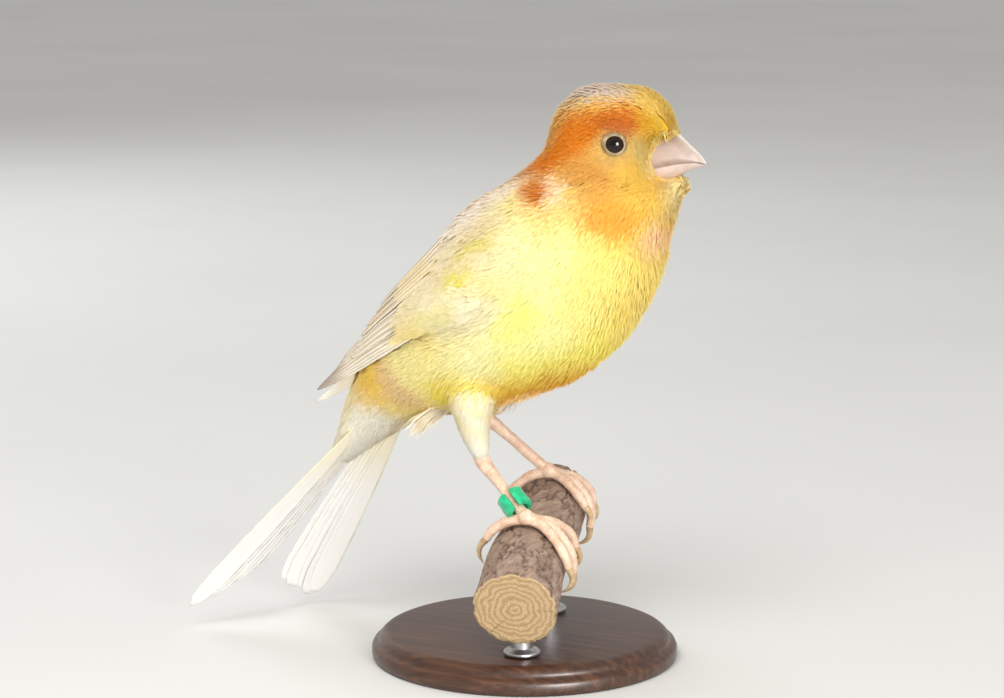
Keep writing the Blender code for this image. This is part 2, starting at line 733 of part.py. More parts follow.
def main():
    for old in list(bpy.data.objects):
        bpy.data.objects.remove(old)
    parts = [
        body_length("torso", TAIL_CUT, NECK_CUT),
        body_length("neck", NECK_CUT, HEAD_CUT),
        make_tail(),
        make_leg_ring(),
        perch("perch"),
    ]
    parts += make_head() + make_bill() + make_stand()
    for side in (RIGHT, LEFT):
        parts.append(make_wing(side))
        parts += make_leg(side)
    canary = bpy.data.collections.new("canary")
    bpy.context.scene.collection.children.link(canary)
    for part in parts:
        bpy.context.scene.collection.objects.unlink(part)
        canary.objects.link(part)
        colour, roughness = LOOKS[part.name.split("_")[0]]
        part.data.materials.clear()
        part.data.materials.append(material(part.name, colour, roughness))
        part.data.shade_smooth()
        part.data.set_sharp_from_angle(angle=SHARP_ANGLE)


main()
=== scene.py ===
import math
import random

import bmesh
import bpy
import numpy as np
from mathutils import Matrix, Vector, noise
from mathutils.bvhtree import BVHTree


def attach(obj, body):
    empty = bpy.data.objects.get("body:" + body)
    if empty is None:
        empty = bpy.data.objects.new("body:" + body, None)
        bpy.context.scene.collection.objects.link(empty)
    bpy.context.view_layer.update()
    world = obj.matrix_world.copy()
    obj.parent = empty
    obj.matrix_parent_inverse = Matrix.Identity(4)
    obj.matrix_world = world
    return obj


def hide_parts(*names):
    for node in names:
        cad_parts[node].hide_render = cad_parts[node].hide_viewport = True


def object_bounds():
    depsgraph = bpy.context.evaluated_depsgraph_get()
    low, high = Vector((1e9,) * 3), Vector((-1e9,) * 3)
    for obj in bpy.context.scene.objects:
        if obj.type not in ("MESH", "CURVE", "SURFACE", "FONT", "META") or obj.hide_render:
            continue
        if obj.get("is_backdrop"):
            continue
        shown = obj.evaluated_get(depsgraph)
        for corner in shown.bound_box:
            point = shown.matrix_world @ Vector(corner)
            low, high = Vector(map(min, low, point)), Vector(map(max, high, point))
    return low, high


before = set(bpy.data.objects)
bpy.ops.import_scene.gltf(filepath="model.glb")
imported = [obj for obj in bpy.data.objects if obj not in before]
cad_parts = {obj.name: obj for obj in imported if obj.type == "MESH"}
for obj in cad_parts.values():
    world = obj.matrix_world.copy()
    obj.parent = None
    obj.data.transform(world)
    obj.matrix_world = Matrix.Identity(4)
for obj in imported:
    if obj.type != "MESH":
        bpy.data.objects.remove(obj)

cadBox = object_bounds()
mm = 0.001
feet = Vector((3.0, 0.0, 30.0))  # the point between the feet, in mm; all places below start there
sides = {"right": -1, "left": 1}


def at(point):
    return (Vector(point) + feet) * mm


def ease(value):
    value = np.clip(value, 0.0, 1.0)
    return value * value * (3 - 2 * value)


def smoothRows(rows, places):  # a Catmull-Rom curve through rows, read at places
    rows = np.array(rows, float)
    padded = np.vstack([2 * rows[0] - rows[1], rows, 2 * rows[-1] - rows[-2]])
    places = np.atleast_1d(np.asarray(places, float))
    first = np.clip(np.floor(places).astype(int), 0, len(rows) - 2)
    f = (places - first)[:, None]
    a, b, c, d = (padded[first + step] for step in range(4))
    bend = (2 * a - 5 * b + 4 * c - d) * f**2 + (3 * b - a - 3 * c + d) * f**3
    return 0.5 * (2 * b + (c - a) * f + bend)


def tint(red, green, blue):  # a colour as a screen shows it, 0 to 255
    shown = np.array((red, green, blue)) / 255
    return np.where(shown <= 0.04045, shown / 12.92, ((shown + 0.055) / 1.055) ** 2.4)


def nearest(points, grid):
    gap = np.linalg.norm(points[:, None] - grid[None], axis=2)
    return gap.argmin(axis=1), gap.min(axis=1)


def unit(vectors):
    return vectors / np.maximum(np.linalg.norm(vectors, axis=-1, keepdims=True), 1e-9)


print("camera")
lens = {
    "azimuth": 30.0,  # degrees from the bird's right side towards its front
    "elevation": 10.0,
    "distance": 550.0,
    "pixelsPerMm": 5.5,  # at the point between the feet
    "feetPixel": (539, 497),
    "imageSize": (1004, 698),
    "sensor": 36.0,
}


def makeCamera(s):
    turn, rise = math.radians(s["azimuth"]), math.radians(s["elevation"])
    flat = math.cos(rise)
    back = Vector((math.sin(turn) * flat, -math.cos(turn) * flat, math.sin(rise)))
    right = Vector((math.cos(turn), math.sin(turn), 0))
    up = back.cross(right)
    width, height = s["imageSize"]
    across = (width / 2 - s["feetPixel"][0]) / s["pixelsPerMm"]
    above = (s["feetPixel"][1] - height / 2) / s["pixelsPerMm"]
    made = bpy.data.objects.new("camera", bpy.data.cameras.new("camera"))
    made.data.sensor_width = s["sensor"]
    made.data.lens = s["sensor"] * s["pixelsPerMm"] * s["distance"] / width
    made.location = at(right * across + up * above + back * s["distance"])
    made.rotation_mode = "QUATERNION"
    made.rotation_quaternion = (-back).to_track_quat("-Z", "Y")
    bpy.context.scene.collection.objects.link(made)
    bpy.context.scene.camera = made
    return back, right, up


cameraBack, cameraRight, cameraUp = makeCamera(lens)

print("materials")


def newMaterial(name, **settings):
    made = bpy.data.materials.new(name)
    made.use_nodes = True
    shader = made.node_tree.nodes["Principled BSDF"]
    for words, value in settings.items():
        socket = shader.inputs[words.replace("_", " ")]
        socket.default_value = value
    return made, made.node_tree, shader


def addNode(tree, kind, settings=(), **links):
    made = tree.nodes.new(kind)
    for key, value in dict(settings).items():
        if isinstance(key, int) or key in made.inputs:
            made.inputs[key].default_value = value
        else:
            setattr(made, key, value)
    for key, source in links.items():
        target = int(key[1:]) if key[0] == "i" and key[1:].isdigit() else key
        tree.links.new(source, made.inputs[target])
    return made


def objectPlace(tree, scale, turn=(0, 0, 0)):
    coordinates = addNode(tree, "ShaderNodeTexCoord")
    return addNode(
        tree, "ShaderNodeMapping", {"Scale": scale, "Rotation": turn},
        Vector=coordinates.outputs["Object"],
    ).outputs["Vector"]


def noiseOf(tree, place, scale, detail=4.0, roughness=0.55):
    settings = {"Scale": scale, "Detail": detail, "Roughness": roughness}
    return addNode(tree, "ShaderNodeTexNoise", settings, Vector=place).outputs["Fac"]


def ramp(tree, value, stops):
    made = addNode(tree, "ShaderNodeValToRGB", Fac=value)
    elements = made.color_ramp.elements
    while len(elements) < len(stops):
        elements.new(0.5)
    for element, (place, colour) in zip(elements, stops):
        element.position = place
        element.color = (*colour, 1.0)
    return made.outputs["Color"]


def mixColour(tree, share, first, second, kind="MIX"):
    made = addNode(tree, "ShaderNodeMix", {"data_type": "RGBA", "blend_type": kind})
    for socket, value in ((made.inputs[0], share), (made.inputs[6], first), (made.inputs[7], second)):
        if isinstance(value, bpy.types.NodeSocket):
            tree.links.new(value, socket)
        else:
            socket.default_value = value if isinstance(value, float) else (*value, 1.0)
    return made.outputs[2]


def addBump(tree, shader, height, strength, distance):
    made = addNode(tree, "ShaderNodeBump", {"Strength": strength, "Distance": distance}, Height=height)
    tree.links.new(made.outputs["Normal"], shader.inputs["Normal"])
    return made


def plumageMaterial(name, roughness=0.8, sheen=0.03):
    made, tree, shader = newMaterial(
        name, Roughness=roughness, Sheen_Weight=sheen, Sheen_Roughness=0.4, Specular_IOR_Level=0.1,
        Subsurface_Weight=0.25, Subsurface_Scale=0.0012, Subsurface_Radius=(1.0, 0.75, 0.5),
    )
    colour = addNode(tree, "ShaderNodeAttribute", {"attribute_name": "plumage"}).outputs["Color"]
    grain = noiseOf(tree, objectPlace(tree, (1, 1, 1)), 1400.0, 2.0)
    tone = ramp(tree, grain, ((0.3, (0.93, 0.92, 0.9)), (0.7, (1.0, 1.0, 1.0))))
    tree.links.new(mixColour(tree, 1.0, colour, tone, "MULTIPLY"), shader.inputs["Base Color"])
    return made


def vaneMaterial(name):  # barbs as fine slanting lines on either side of the shaft
    made, tree, shader = newMaterial(
        name, Roughness=0.6, Sheen_Weight=0.15, Specular_IOR_Level=0.3
    )
    colour = addNode(tree, "ShaderNodeAttribute", {"attribute_name": "plumage"}).outputs["Color"]
    place = addNode(tree, "ShaderNodeUVMap", {"uv_map": "vane"}).outputs["UV"]
    parts = addNode(tree, "ShaderNodeSeparateXYZ", i0=place)
    middle = addNode(tree, "ShaderNodeMath", {"operation": "SUBTRACT", 1: 0.5}, i0=parts.outputs["X"])
    away = addNode(tree, "ShaderNodeMath", {"operation": "ABSOLUTE"}, i0=middle.outputs[0])
    slant = addNode(tree, "ShaderNodeMath", {"operation": "MULTIPLY", 1: 42.0}, i0=away.outputs[0])
    length = addNode(tree, "ShaderNodeMath", {"operation": "MULTIPLY", 1: 640.0}, i0=parts.outputs["Y"])
    phase = addNode(
        tree, "ShaderNodeMath", {"operation": "SUBTRACT"}, i0=length.outputs[0], i1=slant.outputs[0]
    )
    wave = addNode(tree, "ShaderNodeMath", {"operation": "SINE"}, i0=phase.outputs[0])
    lines = addNode(
        tree, "ShaderNodeMapRange", {"From Min": -1.0, "From Max": 1.0, "To Min": 0.0, "To Max": 1.0},
        Value=wave.outputs[0],
    ).outputs["Result"]
    tone = ramp(tree, lines, ((0.0, (0.95, 0.94, 0.93)), (0.6, (1.0, 1.0, 1.0))))
    tree.links.new(mixColour(tree, 1.0, colour, tone, "MULTIPLY"), shader.inputs["Base Color"])
    addBump(tree, shader, lines, 0.25, 0.00005)
    return made


def billMaterial():
    made, tree, shader = newMaterial(
        "bill horn", Roughness=0.46, Subsurface_Weight=0.12, Subsurface_Scale=0.001,
        Specular_IOR_Level=0.35,
    )
    colour = addNode(tree, "ShaderNodeAttribute", {"attribute_name": "plumage"}).outputs["Color"]
    along = objectPlace(tree, (160, 900, 900), (0, 0, -math.radians(18)))
    streaks = noiseOf(tree, along, 1.0, 5.0, 0.6)
    tone = ramp(tree, streaks, ((0.3, (0.84, 0.8, 0.8)), (0.65, (1.0, 1.0, 1.0))))
    tree.links.new(mixColour(tree, 1.0, colour, tone, "MULTIPLY"), shader.inputs["Base Color"])
    addBump(tree, shader, streaks, 0.25, 0.0001)
    return made


def skinMaterial(name, base, deep, roughness, scale, bump):  # bare skin with fine granules
    made, tree, shader = newMaterial(name, Roughness=roughness, Specular_IOR_Level=0.35)
    place = objectPlace(tree, (1, 1, 1))
    broad = noiseOf(tree, place, scale * 0.25, 3.0)
    cells = addNode(tree, "ShaderNodeTexVoronoi", {"Scale": scale}, Vector=place).outputs["Distance"]
    colour = ramp(tree, broad, ((0.35, tuple(deep)), (0.65, tuple(base))))
    edges = ramp(tree, cells, ((0.2, (1.0, 1.0, 1.0)), (0.75, (0.9, 0.86, 0.84))))
    tree.links.new(mixColour(tree, 1.0, colour, edges, "MULTIPLY"), shader.inputs["Base Color"])
    addBump(tree, shader, cells, bump, 0.0001)
    return made


def eyeMaterial():
    made, tree, shader = newMaterial(
        "eye", Roughness=0.03, Specular_IOR_Level=0.3
    )
    colour = addNode(tree, "ShaderNodeAttribute", {"attribute_name": "plumage"}).outputs["Color"]
    fibres = noiseOf(tree, objectPlace(tree, (1, 1, 1)), 2600.0, 3.0)
    tone = ramp(tree, fibres, ((0.3, (0.6, 0.6, 0.6)), (0.7, (1.0, 1.0, 1.0))))
    tree.links.new(mixColour(tree, 1.0, colour, tone, "MULTIPLY"), shader.inputs["Base Color"])
    return made


def ringMaterial():
    made, tree, shader = newMaterial("ring plastic", Roughness=0.3, Coat_Weight=0.4)
    wear = noiseOf(tree, objectPlace(tree, (1, 1, 1)), 900.0, 4.0)
    colour = ramp(tree, wear, ((0.3, tuple(tint(10, 164, 112))), (0.7, tuple(tint(40, 206, 150)))))
    tree.links.new(colour, shader.inputs["Base Color"])
    addBump(tree, shader, wear, 0.15, 0.00005)
    return made


def barkMaterial(turn):
    made, tree, shader = newMaterial("bark", Roughness=0.95, Specular_IOR_Level=0.05)
    along = objectPlace(tree, (900, 160, 900), turn)
    even = objectPlace(tree, (1, 1, 1))
    grain = noiseOf(tree, along, 1.0, 8.0, 0.65)
    broad = noiseOf(tree, even, 160.0, 4.0)
    flecks = addNode(tree, "ShaderNodeTexVoronoi", {"Scale": 900.0}, Vector=even).outputs["Distance"]
    depth = addNode(tree, "ShaderNodeAttribute", {"attribute_name": "depth"}).outputs["Fac"]
    colour = ramp(
        tree, grain,
        ((0.28, tuple(tint(92, 76, 68))), (0.5, tuple(tint(150, 130, 118))), (0.74, tuple(tint(204, 188, 174)))),
    )
    colour = mixColour(tree, broad, colour, tuple(tint(160, 136, 120)), "MIX")
    spots = ramp(tree, flecks, ((0.1, tuple(tint(196, 178, 160))), (0.24, tuple(tint(150, 130, 116)))))
    isSpot = ramp(tree, flecks, ((0.12, (0.45, 0.45, 0.45)), (0.2, (0.0, 0.0, 0.0))))
    colour = mixColour(tree, isSpot, colour, spots)
    colour = mixColour(tree, depth, colour, tuple(tint(88, 70, 62)))
    tree.links.new(colour, shader.inputs["Base Color"])
    addBump(tree, shader, grain, 0.6, 0.0004)
    return made


def cutWoodMaterial():  # growth rings round the pith of a sawn end
    made, tree, shader = newMaterial("cut wood", Roughness=0.8, Specular_IOR_Level=0.2)
    rings = addNode(tree, "ShaderNodeAttribute", {"attribute_name": "rings"}).outputs["Fac"]
    wobble = noiseOf(tree, objectPlace(tree, (1, 1, 1)), 400.0, 4.0)
    sum1 = addNode(tree, "ShaderNodeMath", {"operation": "MULTIPLY_ADD", 1: 0.35}, i0=wobble, i2=rings)
    wave = addNode(tree, "ShaderNodeMath", {"operation": "MULTIPLY", 1: 46.0}, i0=sum1.outputs[0])
    sine = addNode(tree, "ShaderNodeMath", {"operation": "SINE"}, i0=wave.outputs[0])
    shown = addNode(
        tree, "ShaderNodeMapRange", {"From Min": -1.0, "From Max": 1.0}, Value=sine.outputs[0]
    ).outputs["Result"]
    colour = ramp(tree, shown, ((0.1, tuple(tint(176, 146, 108))), (0.8, tuple(tint(200, 172, 132)))))
    fibres = noiseOf(tree, objectPlace(tree, (1, 1, 1)), 3000.0, 3.0)
    tone = ramp(tree, fibres, ((0.3, (0.75, 0.75, 0.75)), (0.7, (1.0, 1.0, 1.0))))
    tree.links.new(mixColour(tree, 1.0, colour, tone, "MULTIPLY"), shader.inputs["Base Color"])
    addBump(tree, shader, fibres, 0.4, 0.0001)
    return made


def standWoodMaterial():
    made, tree, shader = newMaterial("stand wood", Roughness=0.42, Coat_Weight=0.25, Coat_Roughness=0.25)
    place = objectPlace(tree, (60, 900, 900))
    grain = noiseOf(tree, place, 1.0, 8.0, 0.6)
    colour = ramp(
        tree, grain,
        ((0.3, tuple(tint(44, 26, 18))), (0.55, tuple(tint(78, 48, 32))), (0.75, tuple(tint(110, 72, 48)))),
    )
    tree.links.new(colour, shader.inputs["Base Color"])
    addBump(tree, shader, grain, 0.2, 0.0002)
    return made


def steelMaterial():
    made, tree, shader = newMaterial("stand steel", Metallic=1.0, Roughness=0.34)
    lines = noiseOf(tree, objectPlace(tree, (900, 900, 8000)), 1.0, 3.0)
    colour = ramp(tree, lines, ((0.3, (0.42, 0.42, 0.43)), (0.7, (0.62, 0.62, 0.63))))
    tree.links.new(colour, shader.inputs["Base Color"])
    addBump(tree, shader, lines, 0.2, 0.00005)
    return made


def floorMaterial():
    made, tree, shader = newMaterial("pale floor", Roughness=0.9, Specular_IOR_Level=0.05)
    soft = noiseOf(tree, objectPlace(tree, (1, 1, 1)), 6.0, 3.0)
    colour = ramp(tree, soft, ((0.3, (0.72, 0.72, 0.71)), (0.7, (0.76, 0.76, 0.75))))
    tree.links.new(colour, shader.inputs["Base Color"])
    return made


softFeather = plumageMaterial("soft feathers")
bareSkinColour = plumageMaterial("skin under feathers", 0.9, 0.0)
firmVane = vaneMaterial("vane feathers")
hornBill = billMaterial()
lidSkin = skinMaterial("lid skin", tint(184, 164, 128), tint(136, 118, 86), 0.7, 3200.0, 0.5)
legSkin = skinMaterial("leg skin", tint(238, 214, 190), tint(222, 184, 160), 0.5, 2200.0, 0.4)
clawHorn = skinMaterial("claw horn", tint(220, 196, 160), tint(184, 152, 112), 0.32, 1200.0, 0.1)
eyeWet = eyeMaterial()
greenPlastic = ringMaterial()

print("shapes that repeat")


def unitTube(around, rings):  # a closed tube of radius 1 from height 0 to 1
    work = bmesh.new()
    bmesh.ops.create_circle(work, segments=around, radius=1.0)
    edges = work.edges[:]
    bmesh.ops.edgeloop_fill(work, edges=edges)
    for _ in range(rings):
        grown = bmesh.ops.extrude_edge_only(work, edges=edges)["geom"]
        verts = [item for item in grown if isinstance(item, bmesh.types.BMVert)]
        fresh = set(verts)
        edges = [
            item for item in grown
            if isinstance(item, bmesh.types.BMEdge) and all(vert in fresh for vert in item.verts)
        ]
        bmesh.ops.translate(work, verts=verts, vec=(0, 0, 1 / rings))
    bmesh.ops.edgeloop_fill(work, edges=edges)
    bmesh.ops.recalc_face_normals(work, faces=work.faces)
    return work


def unitSlab(columns, rows):  # a closed plate: x from -1 to 1, y from 0 to 1, z 0 above and -1 below
    work = bmesh.new()
    bmesh.ops.create_grid(work, x_segments=columns, y_segments=rows, size=1.0)
    bmesh.ops.scale(work, verts=work.verts, vec=(1, 0.5, 1))
    bmesh.ops.translate(work, verts=work.verts, vec=(0, 0.5, 0))
    grown = bmesh.ops.extrude_face_region(work, geom=work.faces[:])["geom"]
    lower = [item for item in grown if isinstance(item, bmesh.types.BMVert)]
    bmesh.ops.translate(work, verts=lower, vec=(0, 0, -1))
    bmesh.ops.recalc_face_normals(work, faces=work.faces)
    return work


def arraysOf(work):  # the points and the triangles of a bmesh
    bmesh.ops.triangulate(work, faces=work.faces)
    work.verts.index_update()
    points = np.array([vert.co for vert in work.verts])
    faces = np.array([[vert.index for vert in face.verts] for face in work.faces])
    return points, faces


def addPiece(name, mesh, look, slotName, *nodes):
    made = bpy.data.objects.new(name, mesh)
    bpy.context.scene.collection.objects.link(made)
    for one in look if isinstance(look, (list, tuple)) else [look]:
        mesh.materials.append(one)
    mesh.shade_smooth()
    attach(made, "root")
    if nodes:
        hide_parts(*nodes)
    return made


def meshOf(name, work):  # the bmesh is in mm from the feet
    bmesh.ops.translate(work, verts=work.verts, vec=feet)
    bmesh.ops.scale(work, verts=work.verts, vec=(mm, mm, mm))
    mesh = bpy.data.meshes.new(name)
    work.to_mesh(mesh)
    work.free()
    return mesh


def paintMesh(mesh, colours, name="plumage"):
    layer = mesh.attributes.new(name, "FLOAT_COLOR", "POINT")
    full = np.ones((len(mesh.vertices), 4), np.float32)
    full[:, :3] = colours
    layer.data.foreach_set("color", full.ravel())


def meshFromArrays(name, points, faces, colours, maps, normals=None):
    mesh = bpy.data.meshes.new(name)
    corners = points[faces]
    volume = (corners[:, 0] * np.cross(corners[:, 1], corners[:, 2])).sum()
    if volume < 0:  # a mould may turn its shape inside out
        faces = faces[:, ::-1]
        maps = {key: places.reshape(-1, 3, 2)[:, ::-1].reshape(-1, 2) for key, places in maps.items()}
        if normals is not None:
            normals = normals.reshape(-1, 3, 3)[:, ::-1].reshape(-1, 3)
    mesh.vertices.add(len(points))
    mesh.vertices.foreach_set("co", ((points + np.array(feet)) * mm).astype(np.float32).ravel())
    mesh.loops.add(faces.size)
    mesh.loops.foreach_set("vertex_index", faces.astype(np.int32).ravel())
    mesh.polygons.add(len(faces))
    mesh.polygons.foreach_set("loop_start", np.arange(0, faces.size, 3, dtype=np.int32))
    mesh.update(calc_edges=True)
    paintMesh(mesh, colours)
    for mapName, places in maps.items():  # one place for each corner of each face
        layer = mesh.uv_layers.new(name=mapName)
        layer.data.foreach_set("uv", places.astype(np.float32).ravel())
    mesh.shade_smooth()
    if normals is not None:
        mesh.normals_split_custom_set(normals.astype(np.float32).tolist())
    return mesh


def mould(work, function):
    for vert in work.verts:
        vert.co = function(*vert.co)


def limb(axis, radii, around, rings, shape=None):
    # A tube along a smooth line through the axis points; shape(v, angle) scales its radius.
    axis = np.array([tuple(point) for point in axis], float)
    last = len(axis) - 1
    work = unitTube(around, rings)
    up = Vector((0, 0, 1))
    frames = {}

    def frameAt(v):
        key = round(v * rings)
        if key not in frames:
            place = v * last
            centre = Vector(smoothRows(axis, place)[0])
            before, after = smoothRows(axis, (place - 0.02, place + 0.02))
            along = Vector(after - before).normalized()
            side = along.cross(up).normalized()
            if side.length < 0.5:
                side = along.orthogonal().normalized()
            radius = float(np.interp(v, np.linspace(0, 1, len(radii)), radii))
            frames[key] = (centre, side, side.cross(along), radius)
        return frames[key]

    def place(x, y, z):
        centre, side, top, radius = frameAt(z)
        swell = shape(z, math.atan2(y, x)) if shape else 1.0
        return centre + (side * x + top * y) * radius * swell

    mould(work, place)
    bmesh.ops.recalc_face_normals(work, faces=work.faces)
    return work


def joined(works):  # several bmeshes as one
    whole = bmesh.new()
    for work in works:
        part = bpy.data.meshes.new("part")
        work.to_mesh(part)
        work.free()
        whole.from_mesh(part)
        bpy.data.meshes.remove(part)
    return whole


print("form of the bird")
bird = {
    # Sections from the tail coverts to the brow: x, z, slope in degrees, half depth, half width.
    "body": (
        (-42.6, 2.6, 52, 1.7, 4.4), (-38.4, 8.4, 52, 3.9, 6.0), (-33.6, 14.4, 50, 6.6, 8.0),
        (-28.6, 19.4, 44, 9.4, 10.8), (-22.5, 24.3, 38, 12.8, 13.4), (-15.2, 28.8, 37, 15.1, 15.6),
        (-6.8, 34.2, 41, 16.9, 17.0), (1.6, 40.9, 48, 17.6, 17.2), (8.0, 48.5, 55, 16.3, 16.0),
        (12.1, 55.0, 62, 14.1, 13.4),
    ),
    "head": (
        (14.5, 59.3, 67, 13.0, 11.2), (16.1, 63.6, 57, 13.1, 9.8), (18.8, 66.2, 44, 12.4, 9.3),
        (22.5, 66.5, 31, 10.8, 8.5), (25.1, 65.6, 22, 10.0, 6.9), (26.9, 64.4, 15, 7.8, 5.6),
        (26.6, 63.9, 8, 5.2, 3.6),
    ),
    "turnStart": 8.5,  # the rows between which the neck takes up the head's turn
    "turnSteps": 2.5,
    "neckX": 13.0,
    "headTurn": math.radians(18),
    "neckFoot": (10.0, 0.0, 52.0),  # where the neck starts to turn, and the way it rises
    "neckWay": (0.45, 0.0, 0.89),
    "neckLength": 12.0,
    "billRoot": (24.5, 0.0, 63.3),
    "eye": (16.2, 8.1, 66.0),
    "eyeFacing": (0.22, 1.0, 0.06),
    "eyeRadius": 2.2,
    "thighs": {  # places down the middle with the radius
        "right": (
            (-9.0, -8.6, 25.0, 4.8), (-8.6, -9.5, 18.5, 4.0), (-8.1, -9.7, 14.5, 3.3),
            (-7.3, -9.4, 10.6, 2.3), (-6.6, -9.1, 7.9, 1.5),
        ),
        "left": (
            (-11.0, 8.0, 26.0, 4.8), (-12.4, 8.4, 19.0, 4.2), (-13.6, 7.4, 15.0, 2.8),
            (-14.3, 6.4, 13.0, 1.7),
        ),
    },
}


def turned(point, share=1.0):
    turn = Matrix.Rotation(bird["headTurn"] * share, 3, "Z")
    neck = Vector((bird["neckX"], 0, 0))
    return turn @ (Vector(point) - neck) + neck


def neckShare(points):
    foot, way = np.array(bird["neckFoot"]), np.array(bird["neckWay"])
    return ease((points - foot) @ way / bird["neckLength"])


def markPlaces(points):  # with the head turned back straight, and both sides laid on one
    angle = -bird["headTurn"] * neckShare(points)
    x, y = points[:, 0] - bird["neckX"], points[:, 1]
    straight = points.copy()
    straight[:, 0] = x * np.cos(angle) - y * np.sin(angle) + bird["neckX"]
    straight[:, 1] = np.abs(x * np.sin(angle) + y * np.cos(angle))
    return straight


def segmentDistance(points, start, end):
    start, end = np.array(start, float), np.array(end, float)
    way = end - start
    share = np.clip((points - start) @ way / max(way @ way, 1e-9), 0, 1)
    return np.linalg.norm(points - start - share[:, None] * way, axis=1)


def blend(places, base, marks):
    # Each mark is a name, the two ends of its middle line, a radius, a value and a strength.
    value = np.tile(np.atleast_1d(np.array(base, float)), (len(places), 1))
    for _, start, end, radius, there, strength in marks:
        weight = strength * np.exp(-((segmentDistance(places, start, end) / radius) ** 3))
        value += (np.atleast_1d(there) - value) * weight[:, None]
    return value


def scattered(points, scale, seed):  # smooth noise as an offset for each point
    shift = Vector((seed * 17.3, seed * 5.1, -seed * 9.7))
    return np.array([noise.noise_vector(Vector(point) / scale + shift) for point in points])


